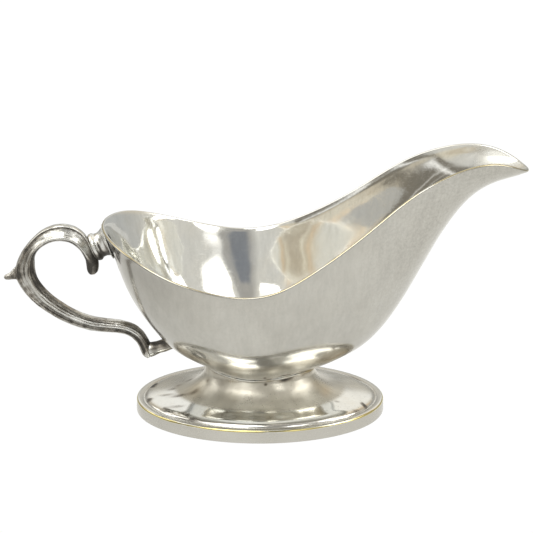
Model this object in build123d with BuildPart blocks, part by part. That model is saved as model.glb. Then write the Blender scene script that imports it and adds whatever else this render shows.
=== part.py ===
from build123d import *

import math
import os

import numpy as np

os.makedirs("parts", exist_ok=True)

# Footed sauce boat in silver-plated brass, millimetres.
# Origin: centre of the foot on the table. +X towards the pouring spout,
# -X towards the handle, +Z up. The X-Z plane is the plane of symmetry.
# Bowl and foot are drawn as sections in half planes through the Z axis, at an
# angle theta from +X, with points (distance from the Z axis, height).

# ------------------------------------------------------------------ dimensions
WALL = 1.3            # bowl sheet thickness
LIP = 1.45            # thickness of the bowl's thickened rim
LIP_DEPTH = 4.5       # length over which the wall swells into the rim
LIP_CROWN = 0.5       # height of the rounded rim above the wall's end
FLOOR_R = 4.0         # radius at which the wall sections start
FLOOR_LAP = 0.6       # overlap of the floor disc with the wall
FLOOR_INSET = 0.05    # the disc lies this far inside both faces of the sheet
FLAT_R = 4.6          # the bowl's outer face is flat up to this radius
FLAT_BLEND = 10.0     # width over which the flat eases into the hull
FOOT_WALL = 1.2       # foot sheet thickness
FOOT_STEP = 0.5       # drop from the inner profile to the top of the inner skirt
BAND_A = 54.6         # half length of the foot's band at the table
BAND_B = 40.9         # half width of the foot's band at the table
BAND_H = 5.3          # height of the upright face of the foot's band
BAND_EDGE_Z = 0.4     # height where the band's lower bevel ends
BAND_BEVEL = 1.0      # bevel width, where the blank ends below the table
BAND_SINK = 0.6       # how far the blank reaches below the table
NECK_GAP = 0.5        # gap left for solder between the foot's neck and the bowl
SEAM = 0.04           # working gap between separately made pieces
SOLDER = 0.35         # thickness of the solder film under the handle fittings

# Bowl stations: x, half breadth, rim height, keel height, fullness of section.
BOWL = np.array([
    [-68.6, 0.0, 85.9, 85.9, 0.00],
    [-60.5, 25.7, 83.5, 63.8, 0.30],
    [-50.5, 35.7, 79.7, 45.6, 0.65],
    [-38.5, 42.1, 75.1, 31.5, 0.85],
    [-24.5, 45.1, 71.0, 23.4, 0.95],
    [-8.5, 46.4, 68.6, 16.9, 1.00],
    [7.5, 45.6, 70.7, 16.9, 1.00],
    [21.5, 41.6, 77.1, 20.5, 0.95],
    [35.5, 37.1, 85.7, 25.9, 0.90],
    [49.5, 32.8, 95.8, 35.7, 0.85],
    [63.5, 28.1, 106.1, 55.5, 0.80],
    [77.5, 23.1, 113.3, 81.5, 0.75],
    [91.5, 17.6, 117.2, 100.1, 0.70],
    [103.5, 12.3, 116.6, 107.1, 0.55],
    [111.5, 7.3, 113.2, 109.4, 0.30],
    [115.5, 0.0, 110.8, 110.8, 0.00],
])
UPRIGHTNESS = 0.965   # how upright a full section stands at its rim
CURVE_POINTS = 15     # points on each section of the bowl

# Foot shell, outer face: half length, half width, height.
FOOT = [
    (51.2, 37.2, 0.4),
    (51.1, 37.1, 5.4),
    (50.6, 36.7, 6.3),
    (49.3, 35.7, 7.1),
    (44.4, 32.0, 8.1),
    (37.6, 27.2, 9.2),
    (32.6, 23.8, 10.8),
    (28.8, 20.9, 13.1),
    (25.9, 18.6, 15.9),
    (24.3, 17.3, 18.4),
    (24.0, 17.0, 20.0),   # nominal height: the top edge follows the bowl's underside
]

# Rolled bead on the band: inset from the band's edge, rise above BAND_H.
BEAD = [(0.1, 0.0), (0.5, 0.65), (1.3, 0.95), (2.1, 0.75), (2.7, 0.2)]

# Handle bar: centre x, centre z, half width, direction of the outer edge (deg),
# half thickness across the plane of symmetry. It starts at the tip of the scroll
# that hangs under the upper fitting and ends at the heel by the lower fitting.
HANDLE = [
    (-73.2, 63.2, 1.20, 0.0, 1.2),
    (-73.0, 64.4, 2.15, 0.0, 2.2),
    (-72.9, 66.2, 2.65, 0.0, 2.8),
    (-73.0, 68.8, 2.81, -1.0, 3.2),
    (-74.0, 71.9, 2.76, 6.2, 3.5),
    (-75.4, 74.8, 2.80, 18.0, 3.8),
    (-76.9, 77.2, 3.05, 32.5, 4.0),
    (-78.8, 79.5, 3.45, 48.0, 4.1),
    (-81.3, 81.2, 3.76, 62.7, 4.2),
    (-84.2, 82.1, 3.86, 75.5, 4.2),
    (-87.3, 82.2, 3.79, 87.1, 4.2),
    (-90.5, 81.6, 3.55, 99.5, 4.1),
    (-93.6, 80.2, 3.20, 113.5, 4.0),
    (-96.6, 78.0, 2.85, 131.0, 3.9),
    (-99.0, 75.3, 2.75, 149.0, 3.9),
    (-100.8, 72.4, 3.06, 163.0, 3.9),
    (-101.8, 69.4, 3.71, 172.5, 4.0),
    (-102.3, 66.6, 4.28, 178.5, 4.1),
    (-102.2, 63.7, 4.50, 184.5, 4.2),
    (-101.4, 60.8, 4.48, 190.5, 4.3),
    (-99.9, 57.9, 4.36, 197.0, 4.3),
    (-97.7, 54.9, 4.22, 204.5, 4.3),
    (-94.9, 52.0, 4.04, 212.5, 4.3),
    (-91.6, 49.2, 3.85, 220.5, 4.2),
    (-87.7, 46.5, 3.67, 228.0, 4.1),
    (-83.4, 44.0, 3.50, 236.0, 4.0),
    (-78.6, 41.9, 3.33, 245.5, 3.9),
    (-73.7, 40.4, 3.21, 256.0, 3.8),
    (-68.6, 39.6, 3.08, 263.0, 3.7),
    (-63.4, 39.1, 2.97, 263.0, 3.6),
    (-58.8, 38.2, 2.92, 257.0, 3.5),
    (-55.3, 36.5, 2.91, 247.5, 3.5),
    (-52.8, 34.1, 2.90, 239.0, 3.5),
    (-51.2, 31.4, 2.90, 232.5, 3.5),
    (-50.1, 28.8, 2.95, 227.5, 3.5),
    (-49.2, 26.6, 2.60, 223.0, 3.2),
    (-48.5, 25.0, 1.60, 220.0, 2.2),
]
# Bar cross-section, one side from outer edge (+1) to inner edge (-1), in units of
# half width and half thickness: a soft ridge lies nearer the inner edge.
BAR = [
    (1.0, 0.0), (0.93, 0.42), (0.55, 0.70), (0.0, 0.90),
    (-0.35, 1.0), (-0.75, 0.66), (-1.0, 0.0),
]
# Thumb spur on the outside of the bar: centre x, centre z, half width,
# direction of the width (deg), half thickness.
SPUR = [
    (-101.5, 64.8, 3.9, 118.0, 3.7),
    (-104.2, 64.0, 3.4, 116.0, 3.3),
    (-106.7, 63.0, 2.4, 118.0, 2.5),
    (-108.8, 62.2, 1.55, 112.0, 1.6),
    (-110.5, 61.8, 1.20, 104.0, 1.3),
    (-111.6, 61.6, 0.70, 98.0, 0.8),
]
# Upper fitting, a turned socket: distance along its axis, radius in height,
# radius along Y.
SOCKET_AT = (-71.6, 75.7)    # x and z of the zero point on its axis
SOCKET_TILT = 25.0           # rise of its axis towards the bowl, degrees
SOCKET = [
    (-1.5, 4.9, 4.6),
    (-1.1, 5.7, 5.3),
    (-0.3, 6.25, 5.8),
    (0.6, 6.3, 5.9),
    (1.3, 5.8, 5.4),
    (2.0, 5.5, 5.15),
    (3.1, 5.5, 5.15),
    (4.1, 5.8, 5.4),
    (4.9, 6.2, 5.8),
    (5.5, 6.5, 6.2),
    (6.6, 6.9, 6.6),
    (8.2, 7.5, 7.2),
    (11.0, 8.6, 8.2),
]
# Lower fitting, a short bar: centre x, centre z, half height, half depth along Y.
LUG_TILT = 18.0              # rise of its axis towards the bowl, degrees
LUG = [
    (-48.9, 27.7, 3.30, 3.1),
    (-47.6, 28.2, 3.20, 3.1),
    (-46.0, 28.9, 2.95, 2.9),
    (-44.4, 29.6, 2.75, 2.8),
    (-42.6, 30.3, 2.85, 2.9),
    (-41.0, 30.9, 3.20, 3.3),
    (-39.0, 31.6, 3.80, 3.9),
    (-35.5, 32.7, 4.60, 4.8),
]
# Solid stand-in for the handle end of the bowl, used to trim the fittings.
MASS_ANGLES = (132, 140, 148, 156, 163, 170, 175, 180)
MASS_CORE_R = 12.0           # its inner radius
MASS_HEADROOM = 12           # its height above the rim

# Section angles: the bowl's pass through its stations' rim points.
BOWL_ANGLES = sorted(
    [0.0, math.radians(1.9), math.radians(168.5), math.pi]
    + [math.atan2(breadth, x) for x, breadth in BOWL[1:-1, :2]]
)
FOOT_ANGLES = [
    math.radians(a)
    for a in (0, 10, 21, 33, 46, 60, 75, 90, 105, 120, 134, 147, 159, 170, 180)
]


# --------------------------------------------------------------- curve helpers
def natural_spline(xs, ys):
    """Function of x for the natural cubic spline through the stations."""
    n = len(xs)
    h = np.diff(xs)
    matrix = np.zeros((n, n))
    rhs = np.zeros(n)
    matrix[0, 0] = matrix[-1, -1] = 1.0
    for i in range(1, n - 1):
        matrix[i, i - 1] = h[i - 1]
        matrix[i, i] = 2 * (h[i - 1] + h[i])
        matrix[i, i + 1] = h[i]
        rhs[i] = 6 * ((ys[i + 1] - ys[i]) / h[i] - (ys[i] - ys[i - 1]) / h[i - 1])
    bend = np.linalg.solve(matrix, rhs)   # second derivative at each station

    def value_at(x):
        x = np.clip(x, xs[0], xs[-1])
        i = np.clip(np.searchsorted(xs, x) - 1, 0, n - 2)
        ahead, behind, span = xs[i + 1] - x, x - xs[i], h[i]
        return (
            (bend[i] * ahead**3 + bend[i + 1] * behind**3) / (6 * span)
            + (ys[i] / span - bend[i] * span / 6) * ahead
            + (ys[i + 1] / span - bend[i + 1] * span / 6) * behind
        )

    return value_at


def unit_tangents(points):
    tangents = np.gradient(points, axis=0)
    return tangents / np.linalg.norm(tangents, axis=1)[:, None]


def offset_left(points, tangents, thickness):
    """Points moved to the left of their direction of travel."""
    return points + np.c_[-tangents[:, 1], tangents[:, 0]] * thickness


def half_plane(theta):
    """Upright plane through the Z axis: local x points outward, local y up."""
    c, s = math.cos(theta), math.sin(theta)
    return Plane(origin=(0, 0, 0), x_dir=(c, s, 0), z_dir=(s, -c, 0))


def pairs(points):
    return [(float(a), float(b)) for a, b in points]


# ---------------------------------------------------------------- bowl surface
breadth_squared = natural_spline(BOWL[:, 0], BOWL[:, 1] ** 2)
rim_height = natural_spline(BOWL[:, 0], BOWL[:, 2])
bowl_depth = natural_spline(BOWL[:, 0], BOWL[:, 2] - BOWL[:, 3])
X_BACK, X_SPOUT = BOWL[0, 0], BOWL[-1, 0]
Z_FLOOR = float(rim_height(0.0) - bowl_depth(0.0)) - LIP_CROWN


def half_breadth(x):
    return math.sqrt(max(float(breadth_squared(x)), 0.0))


def outer_z(x, y):
    """Height of the bowl's outer face."""
    breadth = max(half_breadth(x), 1e-6)
    q = min((y / breadth) ** 2, 1.0)
    fullness = float(np.interp(x, BOWL[:, 0], BOWL[:, 4]))
    root = math.sqrt(1 - UPRIGHTNESS)
    full = (math.sqrt(1 - UPRIGHTNESS * q) - root) / (1 - root)
    # a V-like parabola blended with the full, round section
    shape = (1 - fullness) * (1 - q) + fullness * full
    z = float(rim_height(x)) - max(float(bowl_depth(x)), 0.0) * shape
    z -= LIP_CROWN
    blend = min(max((math.hypot(x, y) - FLAT_R) / FLAT_BLEND, 0.0), 1.0)
    blend = blend * blend * (3 - 2 * blend)
    return Z_FLOOR + (z - Z_FLOOR) * blend


def underside(theta, rho):
    """Height of the outer face at radius rho; y is kept just inside the rim."""
    return outer_z(rho * math.cos(theta), rho * math.sin(theta) * 0.999999)


def rim_radius(theta):
    """Distance from the Z axis to the rim, found by bisection."""
    c, s = math.cos(theta), math.sin(theta)
    if s < 1e-9:
        return X_SPOUT if c > 0 else -X_BACK
    low, high = 1.0, 130.0
    for _ in range(60):
        mid = (low + high) / 2
        x = mid * c
        if X_BACK < x < X_SPOUT and mid * s < half_breadth(x):
            low = mid
        else:
            high = mid
    return low


def outer_curve(theta, start_r):
    """Points on the outer face from start_r to the rim, closer near the rim."""
    end_r = rim_radius(theta)
    start = math.asin(start_r / end_r)
    points = []
    for i in range(CURVE_POINTS):
        rho = end_r * math.sin(start + (math.pi / 2 - start) * i / (CURVE_POINTS - 1))
        points.append((rho, underside(theta, rho)))
    return np.array(points)


def wall_section(theta):
    """Outer points and inner points of the bowl wall."""
    outer = outer_curve(theta, FLOOR_R)
    c, s = math.cos(theta), math.sin(theta)
    tangents = unit_tangents(outer)
    tangents[0] = (1.0, 0.0)
    run = np.r_[0, np.cumsum(np.linalg.norm(np.diff(outer, axis=0), axis=1))]
    step = 0.05   # half span of the slope measurement
    thickness = []
    for rho, to_rim in zip(outer[:, 0], run[-1] - run):
        # near the rim the slope is taken a little further in
        pull = 0.97 if rho > 0.9 * outer[-1, 0] else 1.0
        x, y = rho * c * pull, rho * s * pull
        slope_x = (outer_z(x + step, y) - outer_z(x - step, y)) / (2 * step)
        slope_y = (outer_z(x, y + step) - outer_z(x, y - step)) / (2 * step)
        slope_rho = slope_x * c + slope_y * s
        # the section cuts the sheet obliquely, so it shows thicker there
        stretch = math.sqrt((1 + slope_x**2 + slope_y**2) / (1 + slope_rho**2))
        sheet = WALL + (LIP - WALL) * max(0.0, 1 - to_rim / LIP_DEPTH)
        thickness.append(sheet * min(stretch, 2.0))
    return outer, offset_left(outer, tangents, np.array(thickness)[:, None])


# ------------------------------------------------------------------------ bowl
def make_bowl():
    """One raised sheet: half a bowl lofted round the Z axis, then mirrored."""
    with BuildPart() as bowl:
        for theta in BOWL_ANGLES:
            outer, inner = wall_section(theta)
            end_dir = outer[-1] - outer[-2]
            end_dir = end_dir / np.linalg.norm(end_dir)
            crown = (outer[-1] + inner[-1]) / 2 + end_dir * LIP_CROWN
            with BuildSketch(half_plane(theta)):
                with BuildLine():
                    Spline(*pairs(outer))
                    ThreePointArc(*pairs([outer[-1], crown, inner[-1]]))
                    Spline(*pairs(inner[::-1]))
                    Line(*pairs([inner[0], outer[0]]))
                make_face()
        loft()
        mirror(about=Plane.XZ)
        # disc that closes the middle of the floor
        with BuildSketch(Plane.XY.offset(Z_FLOOR + FLOOR_INSET)):
            Circle(FLOOR_R + FLOOR_LAP)
        extrude(amount=WALL - 2 * FLOOR_INSET)
    return bowl.part


# ------------------------------------------------------------------------ foot
def oval(a, b, theta):
    """Radius of an ellipse with half axes a and b."""
    return a * b / math.hypot(b * math.cos(theta), a * math.sin(theta))


def foot_edge(theta):
    """Outer radius of the foot shell at its lower edge."""
    return oval(FOOT[0][0], FOOT[0][1], theta)


def make_foot():
    """Oval shell with an upright skirt and a neck that follows the bowl."""
    with BuildPart() as foot:
        for theta in FOOT_ANGLES:
            rows = np.array([(oval(a, b, theta), z) for a, b, z in FOOT])
            rows[-1, 1] = underside(theta, rows[-1, 0]) - NECK_GAP
            base_out, top_out, profile = rows[0], rows[1], rows[2:]
            inner = offset_left(profile, unit_tangents(profile), FOOT_WALL)
            neck_in = profile[-1][0] - FOOT_WALL
            inner[-1] = (neck_in, underside(theta, neck_in) - NECK_GAP)
            base_in = (base_out[0] - FOOT_WALL, base_out[1])
            top_in = (top_out[0] - FOOT_WALL, inner[0, 1] - FOOT_STEP)
            with BuildSketch(half_plane(theta)):
                with BuildLine():
                    Line(*pairs([base_out, top_out]))
                    Line(*pairs([top_out, profile[0]]))
                    Spline(*pairs(profile))
                    Line(*pairs([profile[-1], inner[-1]]))
                    Spline(*pairs(inner[::-1]))
                    Line(*pairs([inner[0], top_in]))
                    Line(*pairs([top_in, base_in]))
                    Line(*pairs([base_in, base_out]))
                make_face()
        loft()
        mirror(about=Plane.XZ)
    return foot.part


def make_foot_rim_band():
    """Heavy band round the foot's edge: upright face, rolled bead on top."""
    with BuildPart() as band:
        for theta in FOOT_ANGLES:
            edge = oval(BAND_A, BAND_B, theta)
            inside = foot_edge(theta) + SEAM
            bead = [(edge - inset, BAND_H + rise) for inset, rise in BEAD]
            with BuildSketch(half_plane(theta)):
                with BuildLine():
                    Polyline(
                        (inside, -BAND_SINK), (edge - BAND_BEVEL, -BAND_SINK),
                        (edge, BAND_EDGE_Z), bead[0],
                    )
                    Spline(*bead)
                    Line(bead[-1], (inside, BAND_H))
                    Line((inside, BAND_H), (inside, -BAND_SINK))
                make_face()
        loft()
        mirror(about=Plane.XZ)
        # the underside is ground flat: this is the face the boat stands on
        split(bisect_by=Plane.XY, keep=Keep.TOP)
    return band.part


def make_ring(outline_at):
    """Ring lofted through straight-sided outlines, given as a function of theta."""
    with BuildPart() as ring:
        for theta in FOOT_ANGLES:
            outline = pairs(outline_at(theta))
            with BuildSketch(half_plane(theta)):
                with BuildLine():
                    Polyline(*outline, outline[0])
                make_face()
        loft()
        mirror(about=Plane.XZ)
    return ring.part


def band_solder_outline(theta):
    """Fillet that closes the seam between the band and the foot's shoulder."""
    bead_side = oval(BAND_A, BAND_B, theta) - 2.75
    shoulder = foot_edge(theta)
    return [
        (shoulder + SEAM, BAND_H + 0.06),
        (bead_side, BAND_H + 0.28),
        (bead_side, BAND_H + 0.75),
        (shoulder - 0.02, BAND_H + 0.85),
        (shoulder - 0.02, BAND_H + 0.40),
    ]


def neck_solder_outline(theta):
    """Solder between the neck of the foot and the underside of the bowl."""
    neck_out = oval(FOOT[-1][0], FOOT[-1][1], theta)
    neck_in = neck_out - FOOT_WALL
    # radius, drop below the bowl's underside
    corners = [
        (neck_in, NECK_GAP - 0.02),
        (neck_out, NECK_GAP - 0.02),
        (neck_out + 0.3, 0.30),
        (neck_out + 0.9, SEAM),
        (neck_out - 0.2, SEAM),
        (neck_in, SEAM),
    ]
    return [(rho, underside(theta, rho) - drop) for rho, drop in corners]


# ---------------------------------------------------------------------- handle
def bar_plane(x, z, angle):
    """Section plane: local x points along angle in the X-Z plane, local y is Y."""
    a = math.radians(angle)
    width_dir = Vector(math.cos(a), 0, math.sin(a))
    return Plane(origin=(x, 0, z), x_dir=width_dir, z_dir=width_dir.cross(Vector(0, 1, 0)))


def loft_ellipses(sections):
    """Solid through ellipses given as (plane, local x radius, local y radius)."""
    with BuildPart() as body:
        for plane, x_radius, y_radius in sections:
            with BuildSketch(plane):
                Ellipse(x_radius, y_radius)
        loft()
    return body.part


def make_handle():
    """Cast bar with its thumb spur."""
    spur = loft_ellipses(
        [(bar_plane(x, z, angle), width, depth) for x, z, width, angle, depth in SPUR]
    )
    last = len(BAR) - 1
    with BuildPart() as handle:
        for x, z, width, angle, depth in HANDLE:
            side = [(u * width, v * depth) for u, v in BAR]
            outline = side + [(u, -v) for u, v in side[-2:0:-1]]
            with BuildSketch(bar_plane(x, z, angle)):
                with BuildLine():
                    Spline(*outline[:last + 1], tangents=[(0, 1), (0, -1)])
                    Spline(*outline[last:], outline[0], tangents=[(0, -1), (0, 1)])
                make_face()
        loft()
        add(spur)
    return handle.part


# ------------------------------------------------------------- handle fittings
def tilted_axis(degrees):
    tilt = math.radians(degrees)
    return Vector(math.cos(tilt), 0, math.sin(tilt))


def make_socket_blank():
    axis = tilted_axis(SOCKET_TILT)
    start = Vector(SOCKET_AT[0], 0, SOCKET_AT[1])
    return loft_ellipses([
        (Plane(origin=start + axis * run, x_dir=(0, 1, 0), z_dir=axis), depth, height)
        for run, height, depth in SOCKET
    ])


def make_lug_blank():
    axis = tilted_axis(LUG_TILT)
    return loft_ellipses([
        (Plane(origin=(x, 0, z), x_dir=(0, 1, 0), z_dir=axis), depth, height)
        for x, z, height, depth in LUG
    ])


def make_bowl_mass():
    """Space taken by the bowl near the handle."""
    with BuildPart() as mass:
        for degrees in MASS_ANGLES:
            theta = math.radians(degrees)
            outer = outer_curve(theta, MASS_CORE_R)
            rim = outer[-1]
            top = rim[1] + MASS_HEADROOM
            with BuildSketch(half_plane(theta)):
                with BuildLine():
                    Spline(*pairs(outer))
                    Line(*pairs([rim, (rim[0], top)]))
                    Line(*pairs([(rim[0], top), (MASS_CORE_R, top)]))
                    Line(*pairs([(MASS_CORE_R, top), outer[0]]))
                make_face()
        loft()
        mirror(about=Plane.XZ)
    return mass.part


def make_fitting(blank, fit_mass, handle):
    """Fitting cut back short of the bowl and hollowed by the handle bar."""
    with BuildPart() as fitting:
        add(blank)
        add(fit_mass, mode=Mode.SUBTRACT)
        add(handle, mode=Mode.SUBTRACT)
    return fitting.part


def make_solder_film(blank, fit_mass, seam_mass):
    """Slice of the blank between the fitting's trimmed end and the bowl."""
    with BuildPart() as film:
        add(blank)
        add(fit_mass, mode=Mode.INTERSECT)
        add(seam_mass, mode=Mode.SUBTRACT)
    return film.part


# ---------------------------------------------------------------------- pieces
handle = make_handle()
socket_blank = make_socket_blank()
lug_blank = make_lug_blank()
bowl_mass = make_bowl_mass()
# the mass is moved towards the handle and down to leave room for solder or a seam
fit_mass = bowl_mass.moved(Location(Vector(-SOLDER * 0.9, 0, -SOLDER * 0.45)))
seam_mass = bowl_mass.moved(Location(Vector(-SEAM, 0, -SEAM / 2)))

pieces = {
    "bowl": make_bowl(),
    "foot": make_foot(),
    "foot_rim_band": make_foot_rim_band(),
    "foot_band_solder": make_ring(band_solder_outline),
    "foot_neck_solder": make_ring(neck_solder_outline),
    "handle": handle,
    "handle_upper_socket": make_fitting(socket_blank, fit_mass, handle),
    "handle_lower_lug": make_fitting(lug_blank, fit_mass, handle),
    "upper_handle_solder": make_solder_film(socket_blank, fit_mass, seam_mass),
    "lower_handle_solder": make_solder_film(lug_blank, fit_mass, seam_mass),
}
for name, part in pieces.items():
    part.label = name
    export_step(part, f"parts/{name}.step")
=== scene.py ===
# A worn silver-plated pouring bowl on an oval foot, with a looped cast handle.
# It stands on z = 0 and is symmetric about y = 0: the spout points to +X, the handle to -X.
# Lengths are in millimetres until a mesh is made. The camera looks along +Y from the -Y side.
import math

import bmesh
import bpy
import numpy as np
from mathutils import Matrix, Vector


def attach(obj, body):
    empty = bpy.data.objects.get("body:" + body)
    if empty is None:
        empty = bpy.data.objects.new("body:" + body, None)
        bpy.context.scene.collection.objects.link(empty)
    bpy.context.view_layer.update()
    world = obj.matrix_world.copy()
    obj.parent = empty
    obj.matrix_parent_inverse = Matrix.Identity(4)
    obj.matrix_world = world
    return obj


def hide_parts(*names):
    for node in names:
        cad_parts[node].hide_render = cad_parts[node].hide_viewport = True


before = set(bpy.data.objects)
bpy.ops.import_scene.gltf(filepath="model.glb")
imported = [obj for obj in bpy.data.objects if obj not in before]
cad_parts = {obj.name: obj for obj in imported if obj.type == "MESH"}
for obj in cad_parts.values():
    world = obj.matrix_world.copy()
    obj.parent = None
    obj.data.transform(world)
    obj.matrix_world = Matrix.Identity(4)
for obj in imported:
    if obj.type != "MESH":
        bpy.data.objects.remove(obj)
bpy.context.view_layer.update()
MM = 0.001

# ----------------------------------------------------------------------------
# Sizes in millimetres, angles in degrees
# ----------------------------------------------------------------------------
WALL = 1.3                       # bowl sheet
LIP, LIP_DEPTH = 1.45, 4.5       # sheet thickness at the rim, and how far down it thickens
LIP_CROWN = 0.5                  # height of the rounded rim over the sheet
SECTION_ROUNDNESS = 0.965        # of a full bowl section; 1 would be a half ellipse
FLAT_RADIUS, FLAT_BLEND = 4.6, 10   # level disc at the bottom and its run-out
KEEL_START, KEEL_END = -34, 101  # x range of the line the bowl's rows start from
FOOT_WALL = 1.2
NECK_GAP = 0.5                   # between the foot's neck and the bowl's outer face
# half length and half width of ovals
FOOT_HALF = (54.6, 40.9)
SHOULDER_HALF = (51.0, 37.0)
NECK_HALF = (24.0, 17.0)

# Bowl stations: x, half width, rim height, keel height, fullness of the section (0 to 1)
BOWL = np.array([
    (-68.6, 0.0, 85.9, 85.9, 0.00), (-60.5, 25.7, 83.5, 63.8, 0.30),
    (-50.5, 35.7, 79.7, 45.6, 0.65), (-38.5, 42.1, 75.1, 31.5, 0.85),
    (-24.5, 45.1, 71.0, 23.4, 0.95), (-8.5, 46.4, 68.6, 16.9, 1.00),
    (7.5, 45.6, 70.7, 16.9, 1.00), (21.5, 41.6, 77.1, 20.5, 0.95),
    (35.5, 37.1, 85.7, 25.9, 0.90), (49.5, 32.8, 95.8, 35.7, 0.85),
    (63.5, 28.1, 106.1, 55.5, 0.80), (77.5, 23.1, 113.3, 81.5, 0.75),
    (91.5, 17.6, 117.2, 100.1, 0.70), (103.5, 12.3, 116.6, 107.1, 0.55),
    (111.5, 7.3, 113.2, 109.4, 0.30), (115.5, 0.0, 110.8, 110.8, 0.00),
])

# Outer face of the foot's dome: half length, half width, z
FOOT = np.array([
    (51.1, 37.1, 5.4), (50.6, 36.7, 6.3), (49.3, 35.7, 7.1), (44.4, 32.0, 8.1), (37.6, 27.2, 9.2),
    (32.6, 23.8, 10.8), (28.8, 20.9, 13.1), (25.9, 18.6, 15.9), (24.3, 17.3, 18.4),
])
SKIRT_OUT = [(51.2, 37.2, 0.5), (51.17, 37.17, 1.5), (51.13, 37.13, 3.0), (51.1, 37.1, 4.4)]
SKIRT_IN = [(49.85, 35.85, 4.2), (49.95, 35.95, 2.0), (50.0, 36.0, 0.5)]
INNER_LIMIT = 49.2               # the dome's inner face starts inside this half length

# Band round the foot: offset from the foot's outline, z
BAND = [
    (-3.36, 5.20), (-3.36, 2.6), (-3.36, 0.0), (-2.0, 0.0), (-0.75, 0.0), (-0.45, 0.06),
    (-0.18, 0.22), (-0.04, 0.50), (0.0, 0.9), (0.0, 2.0), (-0.04, 3.6), (-0.10, 4.6),
    (-0.16, 4.92), (-0.15, 5.08), (-0.11, 5.24), (-0.12, 5.42), (-0.22, 5.66), (-0.38, 5.88),
    (-0.62, 6.06), (-0.95, 6.19), (-1.35, 6.25), (-1.75, 6.25), (-2.2, 6.19), (-2.6, 6.07),
    (-2.95, 5.93), (-3.25, 5.75),
]

# Handle and spur stations: x, z, half thickness, direction of the outer edge, half depth in y
HANDLE = np.array([
    (-73.2, 63.2, 1.20, 0.0, 1.2), (-73.0, 64.4, 2.15, 0.0, 2.2), (-72.9, 66.2, 2.65, 0.0, 2.8),
    (-73.0, 68.8, 2.81, -1.0, 3.2), (-74.0, 71.9, 2.76, 6.2, 3.5), (-75.4, 74.8, 2.80, 18.0, 3.8),
    (-76.9, 77.2, 3.05, 32.5, 4.0), (-78.8, 79.5, 3.45, 48.0, 4.1), (-81.3, 81.2, 3.76, 62.7, 4.2),
    (-84.2, 82.1, 3.86, 75.5, 4.2), (-87.3, 82.2, 3.79, 87.1, 4.2), (-90.5, 81.6, 3.55, 99.5, 4.1),
    (-93.6, 80.2, 3.20, 113.5, 4.0), (-96.6, 78.0, 2.85, 131.0, 3.9),
    (-99.0, 75.3, 2.75, 149.0, 3.9), (-100.8, 72.4, 3.06, 163.0, 3.9),
    (-101.8, 69.4, 3.71, 172.5, 4.0), (-102.3, 66.6, 4.28, 178.5, 4.1),
    (-102.2, 63.7, 4.50, 184.5, 4.2), (-101.4, 60.8, 4.48, 190.5, 4.3),
    (-99.9, 57.9, 4.36, 197.0, 4.3), (-97.7, 54.9, 4.22, 204.5, 4.3),
    (-94.9, 52.0, 4.04, 212.5, 4.3), (-91.6, 49.2, 3.85, 220.5, 4.2),
    (-87.7, 46.5, 3.67, 228.0, 4.1), (-83.4, 44.0, 3.50, 236.0, 4.0),
    (-78.6, 41.9, 3.33, 245.5, 3.9), (-73.7, 40.4, 3.21, 256.0, 3.8),
    (-68.6, 39.6, 3.08, 263.0, 3.7), (-63.4, 39.1, 2.97, 263.0, 3.6),
    (-58.8, 38.2, 2.92, 257.0, 3.5), (-55.3, 36.5, 2.91, 247.5, 3.5),
    (-52.8, 34.1, 2.90, 239.0, 3.5), (-51.2, 31.4, 2.90, 232.5, 3.5),
    (-50.1, 28.8, 2.95, 227.5, 3.5), (-49.2, 26.6, 2.60, 223.0, 3.2),
    (-48.5, 25.0, 1.60, 220.0, 2.2),
])
SPUR = np.array([
    (-99.4, 65.4, 3.6, 118.0, 0.8), (-101.5, 64.8, 3.9, 118.0, 1.0),
    (-104.2, 64.0, 3.6, 116.0, 1.25), (-106.7, 63.0, 2.6, 118.0, 1.5),
    (-108.8, 62.2, 1.60, 112.0, 1.35), (-110.5, 61.8, 1.20, 104.0, 1.15),
    (-111.6, 61.6, 0.70, 98.0, 0.8),
])

# Half outlines of the bar from its outer edge (1) to its inner edge (-1): place, depth in y
UPPER_SIDE = np.array([
    (1.00, 0.00), (0.985, 0.20), (0.93, 0.37), (0.86, 0.44), (0.79, 0.42), (0.73, 0.37),
    (0.64, 0.38), (0.50, 0.43), (0.32, 0.51), (0.14, 0.62), (-0.02, 0.75), (-0.16, 0.89),
    (-0.27, 0.99), (-0.36, 1.02), (-0.45, 0.97), (-0.53, 0.84), (-0.60, 0.76), (-0.72, 0.68),
    (-0.85, 0.50), (-0.95, 0.26), (-1.00, 0.00),
])
LOWER_SIDE = np.array([
    (1.00, 0.00), (0.98, 0.26), (0.91, 0.46), (0.82, 0.54), (0.72, 0.50), (0.64, 0.41),
    (0.55, 0.40), (0.42, 0.45), (0.27, 0.56), (0.13, 0.71), (0.02, 0.86), (-0.07, 0.95),
    (-0.16, 0.97), (-0.24, 0.88), (-0.31, 0.84), (-0.40, 0.89), (-0.50, 0.84), (-0.60, 0.71),
    (-0.74, 0.60), (-0.92, 0.30), (-1.00, 0.00),
])

# Upper socket: run along its axis, radius upwards, radius in y
SOCKET_CENTRE, SOCKET_TILT = np.array([-71.6, 0, 75.7]), 25.0
SOCKET = [
    (-1.5, 4.9, 4.6), (-1.1, 5.7, 5.3), (-0.3, 6.25, 5.8), (0.6, 6.3, 5.9), (1.3, 5.8, 5.4),
    (2.0, 5.5, 5.15), (3.1, 5.5, 5.15), (4.1, 5.8, 5.4), (4.9, 6.2, 5.8), (5.5, 6.5, 6.2),
]
# Lower lug: x, radius upwards, radius in y
LUG_CENTRE, LUG_TILT = np.array([-48.9, 0, 27.7]), 18.0
LUG = [
    (-48.9, 3.30, 3.1), (-47.6, 3.20, 3.1), (-46.0, 2.95, 2.9), (-44.4, 2.75, 2.8),
    (-42.6, 2.85, 2.9),
]


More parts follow.
